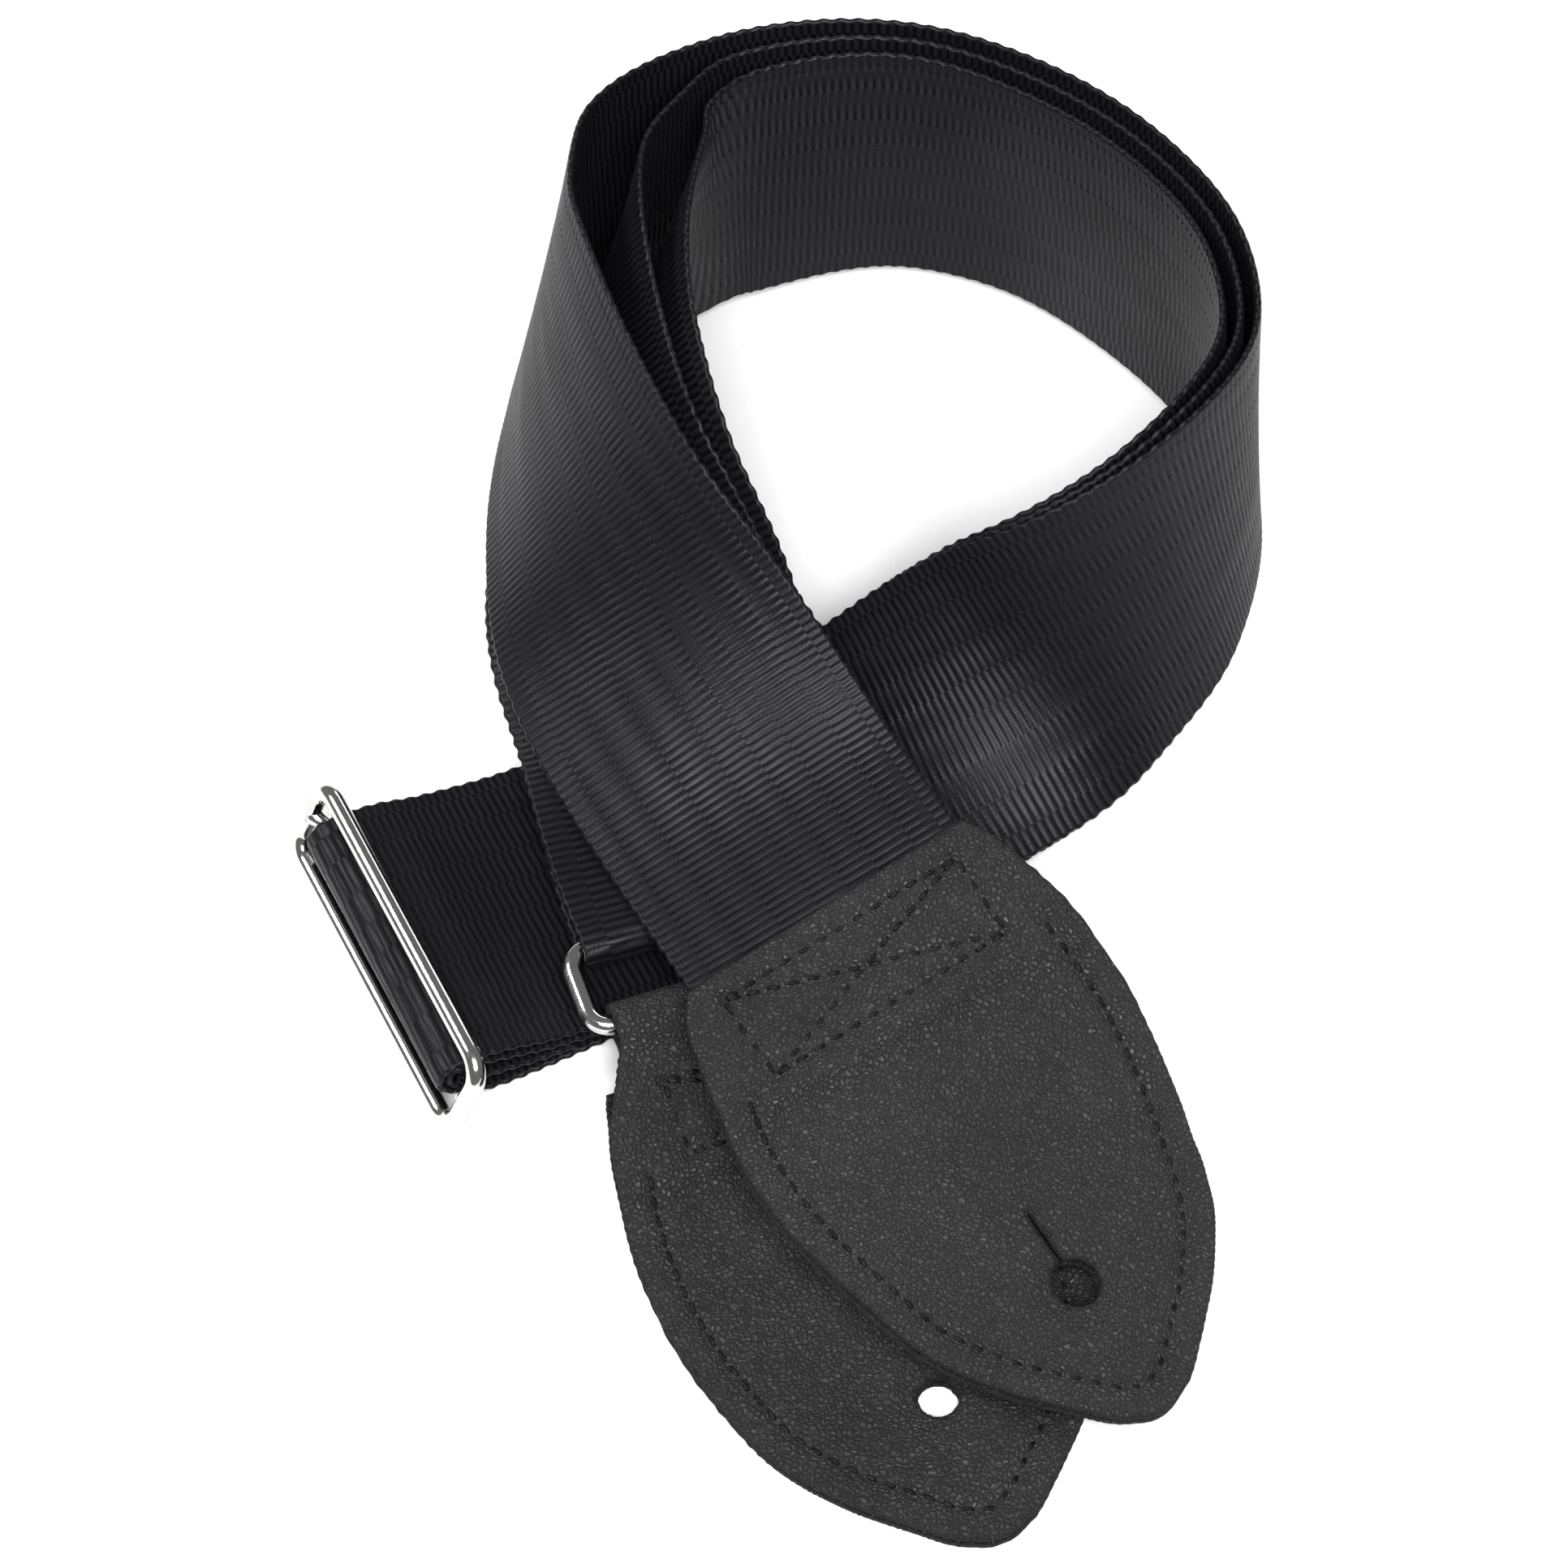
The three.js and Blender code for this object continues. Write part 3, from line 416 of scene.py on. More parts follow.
class Frames:
    """Points along a strip: its middle, its width direction and its outward normal."""

    def __init__(self, middle, across, normal):
        self.middle = np.asarray(middle, float)
        self.across = unit(np.asarray(across, float))
        self.normal = unit(np.asarray(normal, float))

    def slice(self, start, stop):
        return Frames(self.middle[start:stop], self.across[start:stop], self.normal[start:stop])

    def moved_in(self, share, depth):
        """The same frames at a layer's depth: looser and leaning in on the loop's far side."""
        share = np.atleast_1d(share)[:, None]
        spread = 1 + SPREAD * looseness(share) + START_SPREAD * (1 - ease(share, 0, 0.14))
        turn = np.radians(lean_in(share, depth))
        return Frames(
            self.middle - self.normal * depth * spread,
            self.across * np.cos(turn) + self.normal * np.sin(turn),
            self.normal * np.cos(turn) - self.across * np.sin(turn),
        )

    def turned_back(self):
        """The same strip travelled the other way, which shows its other face."""
        return Frames(self.middle[::-1], self.across[::-1], -self.normal[::-1])

    def spots(self):
        steps = np.linalg.norm(np.diff(self.middle, axis=0), axis=1)
        return np.concatenate([[0.0], np.cumsum(steps)])

    def at(self, distances):
        return self.picked(distances, self.spots())

    def picked(self, distances, spots):
        """Frames at distances, where the frames held here lie at the given spots."""
        pick = lambda field: np.stack([np.interp(distances, spots, field[:, k]) for k in range(3)], 1)
        return Frames(pick(self.middle), pick(self.across), pick(self.normal))

    def eased(self, reach):
        """Evens out small kinks over a reach, and keeps the ends where they are."""
        step = self.spots()[-1] / (len(self.middle) - 1)
        count = max(1, round(3 * reach / step))
        weights = np.exp(-0.5 * (np.arange(-count, count + 1) * step / reach) ** 2)
        weights /= weights.sum()

        def smooth(field):
            padded = np.pad(field, ((count, count), (0, 0)), mode="reflect", reflect_type="odd")
            return np.stack([np.convolve(padded[:, k], weights, "valid") for k in range(3)], 1)

        middle, across, normal = smooth(self.middle), unit(smooth(self.across)), smooth(self.normal)
        normal = normal - across * np.sum(normal * across, axis=1, keepdims=True)
        return Frames(middle, across, normal)


def joined(*parts):
    """One strip from several that follow on from each other."""
    keep = [parts[0]] + [p.slice(1, None) for p in parts[1:]]
    return Frames(*(np.concatenate([getattr(p, f) for p in keep]) for f in ("middle", "across", "normal")))


FINE = RIB_PITCH / RIB_SAMPLES
NEAR = 0.05


def run_frames(run, distances):
    row = run.at(distances)
    ahead = run.at(np.minimum(distances + NEAR, run.length))[:, :3]
    behind = run.at(np.maximum(distances - NEAR, 0))[:, :3]
    travel = unit(ahead - behind)
    level = unit(np.cross(travel, UP))
    rise = np.cross(level, travel)
    lean = np.radians(row[:, 3:4])
    across = level * np.cos(lean) + rise * np.sin(lean)
    return Frames(row[:, :3], across, np.cross(across, travel))


def frames_between(run, start, stop, step=FINE):
    return run_frames(run, np.linspace(start, stop, max(2, math.ceil((stop - start) / step) + 1)))


def turned(stations):
    """Stations for travel the other way, whose leans change sign."""
    return [(x, y, z, -lean) for x, y, z, lean in reversed(stations)]


def profile(points, base, out, up, across):
    """A strip along [out, height] points, through the slider or round a bar."""
    run = Run([(x, z, 0.0, 0.0) for x, z in points])
    spots = np.linspace(0, run.length, math.ceil(run.length / FINE) + 1)
    flat = run.at(spots)
    step = run.at(np.minimum(spots + NEAR, run.length)) - run.at(np.maximum(spots - NEAR, 0))
    middle = base + flat[:, :1] * out + flat[:, 1:2] * up
    travel = unit(step[:, :1] * out + step[:, 1:2] * up)
    wide = np.repeat(across[None], len(spots), axis=0)
    return Frames(middle, wide, np.cross(wide, travel))


def arc(centre, radius, start, stop, count):
    angles = np.radians(np.linspace(start, stop, count + 1))
    return [(centre[0] + radius * math.cos(a), centre[1] + radius * math.sin(a)) for a in angles]


# ---- places of the hardware ------------------------------------------------------------------------
SLIDER_OUT, SLIDER_BAR, RING_BAR = unit(SLIDER_OUT), unit(SLIDER_BAR), unit(RING_BAR)
BAR_SPACING = SLIDER_WIDTH - 2 * WIRE_RADIUS
SLIDER_DOWN = (math.sin(SLIDER_LEAN), -math.cos(SLIDER_LEAN))
SLIDER_FACE = (math.cos(SLIDER_LEAN), math.sin(SLIDER_LEAN))
FRAME_CENTRE = (SLIDER_DOWN[0] * BAR_SPACING / 2, UPPER_BAR_HEIGHT + SLIDER_DOWN[1] * BAR_SPACING / 2)
CENTRE_BAR = (
    FRAME_CENTRE[0] - CENTRE_BAR_SETBACK * SLIDER_FACE[0],
    FRAME_CENTRE[1] - CENTRE_BAR_SETBACK * SLIDER_FACE[1],
)
RING_LEVEL = unit(np.cross(UP, RING_BAR))
RING_ACROSS = RING_LEVEL * math.cos(RING_SLOPE) + UP * math.sin(RING_SLOPE)
RING_NORMAL = unit(np.cross(RING_BAR, RING_ACROSS))
RING_UPRIGHT = unit(np.cross(RING_BAR, RING_LEVEL))
RING_SPACING = RING_WIDTH - 2 * WIRE_RADIUS
FOLD_HUG = WIRE_RADIUS + GAP + 0.1 + WEBBING_THICK / 2
TAB_BAR = RING_FOLD_BAR - RING_ACROSS * RING_SPACING


def in_slider(point):
    return SLIDER_PLACE + SLIDER_OUT * point[0] + UP * point[1]


# ---- the webbing's whole path -----------------------------------------------------------------------
SHARED = Run(OUTER_RUN)


def layer(start, depth, end):
    """A layer of the coil: its own start, the stretch that all layers share, its end at the slider."""
    out, height, near = end
    begin = SHARED.spots[SHARED_FROM]
    plain = frames_between(SHARED, begin, SHARED.length)
    common = plain.moved_in(np.linspace(0, 1, len(plain.middle)), depth)

    def at(index):
        share = (SHARED.spots[index] - begin) / (SHARED.length - begin)
        frames = run_frames(SHARED, SHARED.spots[[index]]).moved_in(share, depth)
        return (*frames.middle[0], OUTER_RUN[index][3] + lean_in(share, depth))

    first = Run([*start, at(SHARED_FROM), at(SHARED_FROM + 1)])
    own = frames_between(first, 0, first.spots[len(start)])
    last = Run([
        at(len(OUTER_RUN) - 2), at(len(OUTER_RUN) - 1),
        (*in_slider((out - RUN_IN, near)), 0.0), (*in_slider((out, height)), 0.0),
    ])
    return joined(own, common, frames_between(last, last.spots[1], last.length)).eased(3.0)


def fold_stations(side):
    spots = [RING_FOLD_BAR + RING_LEVEL * d + UP * side * FOLD_HUG for d in (FOLD_END + GAP, 8.0)]
    return [(*p, FOLD_LEAN) for p in spots]


def webbing_path():
    """The strip's frames from inside the front tab to the flap of the loop on the slider's centre bar,
    and the distances at which it enters and leaves the named stretches."""
    tab_end = turned(FRONT_TAB_RUN[:3])
    outer = layer([*tab_end, *OUTER_RUN[:SHARED_FROM]], 0.0, WEAVE_UP)
    head = np.argmin(np.linalg.norm(outer.middle - np.array(OUTER_RUN[0][:3]), axis=1))
    outer = outer.slice(head - round((SEWN_LENGTH - 1.0) / FINE), None)
    middle = layer([*fold_stations(1), *MIDDLE_START], LAYER_PITCH, LOOP_START)
    inner = layer([*fold_stations(-1), *INNER_START], 2 * LAYER_PITCH, WEAVE_BACK)
    wrap = CENTRE_BAR_RADIUS + GAP + WEBBING_THICK + GAP + WEBBING_THICK / 2 + 0.1
    weave = profile(
        [WEAVE_UP[:2], (-13, 9.5), (-6, 12.4), *arc(CENTRE_BAR, wrap, 96, -62, 7), (0.6, 3.7), (-4.5, 2.1),
         (-11, 1.5), WEAVE_BACK[:2]],
        SLIDER_PLACE, SLIDER_OUT, UP, SLIDER_BAR,
    )
    hug = CENTRE_BAR_RADIUS + GAP + WEBBING_THICK / 2
    loop = profile(
        [LOOP_START[:2], (-14, 6.6), (-8, 8.9), *arc(CENTRE_BAR, hug, 105, -95, 7), (-5, 6.1), (-12, 4.4),
         LOOP_FLAP],
        SLIDER_PLACE, SLIDER_OUT, UP, SLIDER_BAR,
    )
    fold = profile(
        [(-FOLD_END, -FOLD_HUG), *arc((0, 0), FOLD_HUG, -90, 90, 8), (-FOLD_END, FOLD_HUG)],
        RING_FOLD_BAR, -RING_LEVEL, RING_UPRIGHT, RING_BAR,
    )
    parts = [outer, weave, inner.turned_back(), fold, middle, loop]
    whole = joined(*parts)
    ends = np.cumsum([p.spots()[-1] for p in parts])
    return whole, ends


# Profile of the webbing: positions across it, with a close pair at the edge of each rib column.
def column_edges():
    edges = []
    place = -WEBBING_WIDTH / 2 + COLUMN_WIDTH * 0.7
    while place < WEBBING_WIDTH / 2 - 1.5:
        edges.append(place)
        place += COLUMN_WIDTH * (0.82 + 0.36 * RNG.random())
    return np.array(edges)


COLUMN_EDGES = column_edges()
COLUMN_SHIFTS = np.cumsum(RNG.uniform(0.18, 0.42, len(COLUMN_EDGES) + 1))


def webbing_columns():
    pairs = np.concatenate([COLUMN_EDGES - COLUMN_STEP, COLUMN_EDGES + COLUMN_STEP])
    middles = (COLUMN_EDGES[1:] + COLUMN_EDGES[:-1]) / 2
    flat = WEBBING_WIDTH / 2 - WEBBING_THICK / 2
    near_edge = [flat, flat - 0.8, flat - 1.9]
    return np.unique(np.round(np.concatenate([pairs, middles, near_edge, [-x for x in near_edge]]), 3))


def add_webbing(name, path, start, stop, material, body=None):
    """A stretch of the strip as a closed ribbed band. Distances are along the whole strip."""
    count = round((stop - start) / FINE)
    spots = np.linspace(start, stop, count + 1)
    frames = path.at(spots)
    x = webbing_columns()
    shift = COLUMN_SHIFTS[np.searchsorted(COLUMN_EDGES, x)]
    phase = spots[:, None] / RIB_PITCH + shift[None, :]
    swell = (0.5 + 0.5 * np.cos(2 * math.pi * phase)) ** RIB_ROUNDNESS
    top = WEBBING_THICK / 2 - RIB_DEPTH * (1 - swell)
    bottom = -(WEBBING_THICK / 2 - RIB_DEPTH * (1 - np.roll(swell, RIB_SAMPLES // 2, axis=0)))
    edge_angles = np.radians(SELVEDGE_ANGLES)[None, :]
    tooth = SELVEDGE_LOOP * (0.5 + 0.5 * np.cos(math.pi * spots / RIB_PITCH))[:, None]
    edge_x = (x[-1] + (WEBBING_THICK / 2) * np.cos(edge_angles)) + tooth * np.cos(edge_angles) - 0.1
    edge_z = (WEBBING_THICK / 2 - 0.05) * np.sin(edge_angles) * np.ones_like(tooth)
    wide = np.ones((len(spots), 1))
    places = np.concatenate([x[None, :] * wide, edge_x, x[None, ::-1] * wide, -edge_x[:, ::-1]], axis=1)
    heights = np.concatenate([top, edge_z, bottom[:, ::-1], -edge_z], axis=1)
    ring = places.shape[1]
    points = (
        frames.middle[:, None, :]
        + frames.across[:, None, :] * places[:, :, None]
        + frames.normal[:, None, :] * heights[:, :, None]
    ).reshape(-1, 3)
    rows, columns = np.meshgrid(np.arange(len(spots) - 1), np.arange(ring), indexing="ij")
    a = rows * ring + columns
    b = rows * ring + (columns + 1) % ring
    sides = np.stack([a, b, b + ring, a + ring], axis=-1).reshape(-1, 4)
    caps = []
    for base, flip in ((0, False), ((len(spots) - 1) * ring, True)):
        loop = [base + i for i in range(ring)]
        caps.append(loop if flip else loop[::-1])
    faces = [*sides.tolist(), *caps]
    # How high each point stands on the ribs, stored so the nylon can paint highlight on the crests and shade
    # in the valleys.
    right, left = (np.repeat(side, len(SELVEDGE_ANGLES), axis=1) for side in (swell[:, -1:], swell[:, :1]))
    under = np.roll(swell, RIB_SAMPLES // 2, axis=0)[:, ::-1]
    rib_crest_light = np.concatenate([swell, right, under, left], axis=1)
    along = np.repeat(spots[:, None], ring, axis=1)
    uv = np.stack([places, along], axis=-1).reshape(-1, 2)
    return make_piece(name, points, faces, material, body, "webbing", uv, [("rib_crest_light", rib_crest_light.ravel())])


# ---- tabs ------------------------------------------------------------------------------------------
OUTLINE = Run([(d, half, 0.0, 0.0) for d, half in TAB_OUTLINE])


def outline_side(step):
    """Points [from the middle, from the head] down one side of a tab, to its tip."""
    spots = np.linspace(0, OUTLINE.length, math.ceil(OUTLINE.length / step) + 1)
    rows = OUTLINE.at(spots)
    return np.stack([rows[:, 1], rows[:, 0]], axis=1)


def tab_tip(step):
    """The tip's end, from one side to the other, slightly crowned."""
    half = TAB_OUTLINE[-1][1]
    x = np.linspace(half, -half, max(2, math.ceil(2 * half / step) + 1))[1:-1]
    return np.stack([x, TAB_LENGTH + 0.6 * (1 - (x / half) ** 2)], axis=1)


def tab_outline(step, head=0.0):
    side = outline_side(step)
    side = side[side[:, 1] >= head]
    mirrored = side[::-1] * np.array([-1.0, 1.0])
    return np.concatenate([side, tab_tip(step), mirrored])


def distance_to(points, line, closed=True):
    """Distance from each point to a polyline, and how far along it the nearest spot is."""
    a = line
    b = np.roll(line, -1, axis=0)
    if not closed:
        a, b = a[:-1], b[:-1]
    lengths = np.linalg.norm(b - a, axis=1)
    starts = np.concatenate([[0.0], np.cumsum(lengths)[:-1]])
    best = np.full(len(points), 1e9)
    along = np.zeros(len(points))
    for p, q, length, start in zip(a, b, lengths, starts):
        if length < 1e-6:
            continue
        t = np.clip(((points - p) @ (q - p)) / length**2, 0, 1)
        d = np.linalg.norm(points - (p + t[:, None] * (q - p)), axis=1)
        nearer = d < best
        best[nearer] = d[nearer]
        along[nearer] = start + t[nearer] * length
    return best, along


def offset_inward(line, amount):
    """A closed line moved inward along its normals."""
    travel = unit(np.roll(line, -1, axis=0) - np.roll(line, 1, axis=0))
    inward = np.stack([-travel[:, 1], travel[:, 0]], axis=1)
    centre = line.mean(axis=0)
    if np.sum((centre - line[0]) * inward[0]) < 0:
        inward = -inward
    return line + inward * amount


def hole_line(hole):
    """The button hole's edge, with the slit that runs from it towards the head."""
    centre = np.array([0.0, hole["from_head"]])
    gap = math.asin(SLIT_HALF_WIDTH / hole["radius"]) if hole["slit"] else 0.0
    angles = np.linspace(-math.pi / 2 + gap, 1.5 * math.pi - gap, 49)
    if not hole["slit"]:
        angles = angles[:-1]
    circle = centre + hole["radius"] * np.stack([np.cos(angles), np.sin(angles)], axis=1)
    if not hole["slit"]:
        return circle
    top = centre[1] - hole["slit"]
    down = np.arange(circle[-1, 1] - LEATHER_STEP, top, -LEATHER_STEP)
    left = np.stack([np.full_like(down, -SLIT_HALF_WIDTH), down], axis=1)
    right = np.stack([np.full_like(down, SLIT_HALF_WIDTH), down], axis=1)[::-1]
    return np.concatenate([circle, left, [[0.0, top - 0.2]], right])


def inside_line(points, line):
    """Whether each point lies inside a closed line."""
    x, y = points[:, 0], points[:, 1]
    result = np.zeros(len(points), bool)
    for (x1, y1), (x2, y2) in zip(line, np.roll(line, -1, axis=0)):
        crosses = (y1 > y) != (y2 > y)
        with np.errstate(divide="ignore", invalid="ignore"):
            at = (x2 - x1) * (y - y1) / (y2 - y1) + x1
        result ^= crosses & (x < at)
    return result


def cut_sheet(outline, holes):
    """A flat sheet of triangles inside the outline and outside the holes, closer at its outline."""
    rings = [outline, offset_inward(outline, 0.25), offset_inward(outline, EDGE_ROUNDING), *holes]
    low, high = outline.min(axis=0), outline.max(axis=0)
    xs = np.arange(low[0], high[0], LEATHER_STEP)
    ys = np.arange(low[1], high[1], LEATHER_STEP * 0.87)
    grid = np.array([(x + (0.5 * LEATHER_STEP if j % 2 else 0.0), y) for j, y in enumerate(ys) for x in xs])
    near, _ = distance_to(grid, outline)
    keep = inside_line(grid, outline) & (near > 1.2)
    for hole in holes:
        near_hole, _ = distance_to(grid, hole)
        keep &= ~inside_line(grid, hole) & (near_hole > 0.45)
    grid = grid[keep]
    points, edges = [], []
    for ring in rings:
        first = len(points)
        points += [Vector(p) for p in ring]
        edges += [(first + i, first + (i + 1) % len(ring)) for i in range(len(ring))]
    points += [Vector(p) for p in grid]
    found, _, triangles, _, _, _ = delaunay_2d_cdt(points, edges, [], 0, 1e-5)
    flat = np.array([tuple(p) for p in found])
    triangles = np.array(triangles)
    centres = flat[triangles].mean(axis=1)
    keep = inside_line(centres, outline)
    for hole in holes:
        keep &= ~inside_line(centres, hole)
    used = np.unique(triangles[keep])
    renumber = np.full(len(flat), -1)
    renumber[used] = np.arange(len(used))
    return flat[used], renumber[triangles[keep]]


def leather_piece(name, outline, holes, place, thickness, relief, material, body):
    """A cut leather: place(flat points) gives frames, relief(flat points) the front face's rise."""
    flat, triangles = cut_sheet(outline, holes)
    near = np.min([distance_to(flat, line)[0] for line in (outline, *holes)], axis=0)
    rounding = np.sqrt(np.clip(1 - (1 - np.clip(near / EDGE_ROUNDING, 0, 1)) ** 2, 0, 1))
    half = thickness / 2 * (0.45 + 0.55 * rounding)
    frames = place(flat)
    raised = relief(flat) * rounding
    rough = np.where(near < 0.3, 1.0, 0.0)
    x, d = flat[:, 0], flat[:, 1]
    jitter = EDGE_JITTER * rough * np.sin(x * 9.1 + d * 7.7) * np.cos(x * 3.3 - d * 5.9)
    flat_out = frames.middle + frames.across * jitter[:, None]
    top = flat_out + frames.normal * (half + raised)[:, None]
    bottom = flat_out + frames.normal * (-half + raised * 0.25)[:, None]
    count = len(flat)
    points = np.concatenate([top, bottom])
    edge_use = {}
    for tri in triangles:
        for k in range(3):
            edge = (tri[k], tri[(k + 1) % 3])
            edge_use.setdefault(frozenset(edge), []).append(edge)
    rim = [pairs[0] for pairs in edge_use.values() if len(pairs) == 1]
    faces = [tuple(t) for t in triangles.tolist()]
    faces += [tuple(int(v) + count for v in t[::-1]) for t in triangles.tolist()]
    faces += [(int(b), int(a), int(a) + count, int(b) + count) for a, b in rim]
    cut = np.clip(1 - near / 0.55, 0, 1)
    return make_piece(name, points, faces, material, body, facts=[("cut", np.tile(cut, 2))])


def add_stitches(name, lines, surface, material, body, node):
    """Short waxed stitches sunk a little into the leather, along lines of [across, from the head]."""
    rings, sides = 7, 8
    u = np.linspace(-1, 1, rings)
    swell = np.sqrt(np.clip(1 - np.abs(u) ** 3, 0.0, 1))
    swell[[0, -1]] = 0.25
    angles = np.linspace(0, 2 * math.pi, sides, endpoint=False)
    points, faces = [], []
    for line in lines:
        steps = np.linalg.norm(np.diff(line, axis=0), axis=1)
        spots = np.concatenate([[0.0], np.cumsum(steps)])
        count = max(1, int(spots[-1] / STITCH_PITCH))
        centres = (np.arange(count) + 0.5) * spots[-1] / count
        pick = lambda s: np.stack([np.interp(s, spots, line[:, k]) for k in range(2)], 1)
        middle, frames = surface(pick(centres))
        ahead, _ = surface(pick(np.minimum(centres + 0.4, spots[-1])))
        behind, _ = surface(pick(np.maximum(centres - 0.4, 0)))
        along = unit(ahead - behind)
        normal = unit(frames.normal - along * np.sum(frames.normal * along, axis=1, keepdims=True))
        side = np.cross(along, normal)
        for m, a, n, w in zip(middle, along, normal, side):
            turn = RNG.uniform(-0.09, 0.09)
            a, w = a * math.cos(turn) + w * math.sin(turn), w * math.cos(turn) - a * math.sin(turn)
            first = len(points)
            for place, size in zip(u, swell):
                centre = m + a * place * STITCH_LENGTH / 2 + n * (0.12 - 0.34 * place**4)
                ring = centre + STITCH_RADIUS * size * (
                    np.cos(angles)[:, None] * w + 0.8 * np.sin(angles)[:, None] * n
                )
                points.extend(ring)
            for r in range(rings - 1):
                for k in range(sides):
                    p, q = first + r * sides + k, first + r * sides + (k + 1) % sides
                    faces.append((p, q, q + sides, p + sides))
            faces.append(tuple(first + k for k in reversed(range(sides))))
            faces.append(tuple(first + (rings - 1) * sides + k for k in range(sides)))
    piece = make_piece(name, np.array(points), faces, material, body, "thread")
    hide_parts(node)


def seam_line(start):
    """The seam round a tab, parallel to its edge, from one end of the box stitch to the other."""
    line = offset_inward(tab_outline(1.0), SEAM_INSET)
    return line[line[:, 1] > start]


def box_lines(near, far, half):
    corners = [(-half, near), (half, near), (half, far), (-half, far)]
    pairs = [(0, 1), (1, 2), (2, 3), (3, 0), (0, 2), (1, 3)]
    return [np.linspace(corners[a], corners[b], 40) for a, b in pairs]


def tab_relief(flat, box, ridge, hole, seam):
    """The leather's rise: sunk at its seams and puckered between stitches, dished round the hole."""
    x, d = flat[:, 0], flat[:, 1]
    near_seam, along = distance_to(flat, seam, closed=False)
    pucker = 1 + 0.35 * np.cos(2 * math.pi * along / STITCH_PITCH)
    rise = -0.5 * np.exp(-((near_seam / 0.95) ** 2)) * pucker
    rise += 0.16 * np.exp(-(((near_seam - 2.4) / 1.2) ** 2))
    for line in box:
        near, along = distance_to(flat, line, closed=False)
        pucker = 1 + 0.4 * np.cos(2 * math.pi * along / STITCH_PITCH)
        rise -= 0.42 * np.exp(-((near / 0.8) ** 2)) * pucker
    side = ease(np.abs(x), ridge["half"] + 2.5, ridge["half"] - 2.5)
    rise += ridge["height"] * np.exp(-(((d - ridge["at"]) / ridge["width"]) ** 2)) * side
    away = np.hypot(x, d - hole["from_head"]) - hole["radius"]
    rise -= 0.75 * np.exp(-((np.maximum(away, 0) / 2.6) ** 2))
    rise += 0.18 * np.exp(-(((away - 5.5) / 2.2) ** 2))
    rise += 0.12 * np.sin(x / 6.3 + 1.7) * np.sin(d / 8.1) + 0.07 * np.sin(x / 2.9 - d / 4.3)
    return rise


def no_relief(flat):
    return np.zeros(len(flat))


def add_front_tab(skin, suede, thread):
    run = Run([(*OUTER_RUN[1][:3], -OUTER_RUN[1][3]), (*OUTER_RUN[0][:3], -OUTER_RUN[0][3]), *FRONT_TAB_RUN])
    head = run.spots[1] + GAP
    over_webbing = WEBBING_THICK / 2 + GAP + LEATHER_FRONT / 2
    back_height = -(WEBBING_THICK / 2 + GAP + LEATHER_BACK / 2)
    on_back = back_height + LEATHER_BACK / 2 + GAP + 0.1 + LEATHER_FRONT / 2

    def front_height(d):
        return over_webbing + (on_back - over_webbing) * ease(d, SEWN_LENGTH - 1.5, SEWN_LENGTH + 4)

    def at(height):
        def place(flat):
            frames = run_frames(run, np.clip(head + flat[:, 1], 0, run.length))
            beyond = np.maximum(head + flat[:, 1] - run.length, 0)[:, None]
            travel = np.cross(frames.normal, frames.across)
            frames.middle = frames.middle + frames.across * flat[:, :1] + travel * beyond
            frames.middle = frames.middle + frames.normal * height(flat[:, 1])[:, None]
            return frames
        return place

    seam = seam_line(SEWN_LENGTH - 4.0)
    box = box_lines(4.6, SEWN_LENGTH - 4.6, 21.5)
    ridge = {"at": SEWN_LENGTH - 1.0, "width": 1.9, "height": 0.75, "half": 24.0}
    relief = lambda flat: tab_relief(flat, box, ridge, FRONT_HOLE, seam)
    hole = hole_line(FRONT_HOLE)
    outline = tab_outline(OUTLINE_STEP)
    front = leather_piece(
        "tab_front_leather", outline, [hole], at(front_height), LEATHER_FRONT, relief, skin, "front_tab",
    )
    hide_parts("front_tab_leather")
    flat_back = lambda d: np.full(len(d), back_height)
    back = leather_piece(
        "tab_front_backing", outline, [hole], at(flat_back), LEATHER_BACK, no_relief, suede, "front_tab",
    )
    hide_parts("front_tab_backing")

    def surface(flat):
        frames = at(front_height)(flat)
        lift = LEATHER_FRONT / 2 + relief(flat)
        return frames.middle + frames.normal * lift[:, None], frames

    add_stitches("tab_front_edge_stitches", [seam], surface, thread, "front_tab", "front_tab_edge_thread")
    add_stitches("tab_front_box_stitches", box, surface, thread, "front_tab", "front_tab_box_thread")


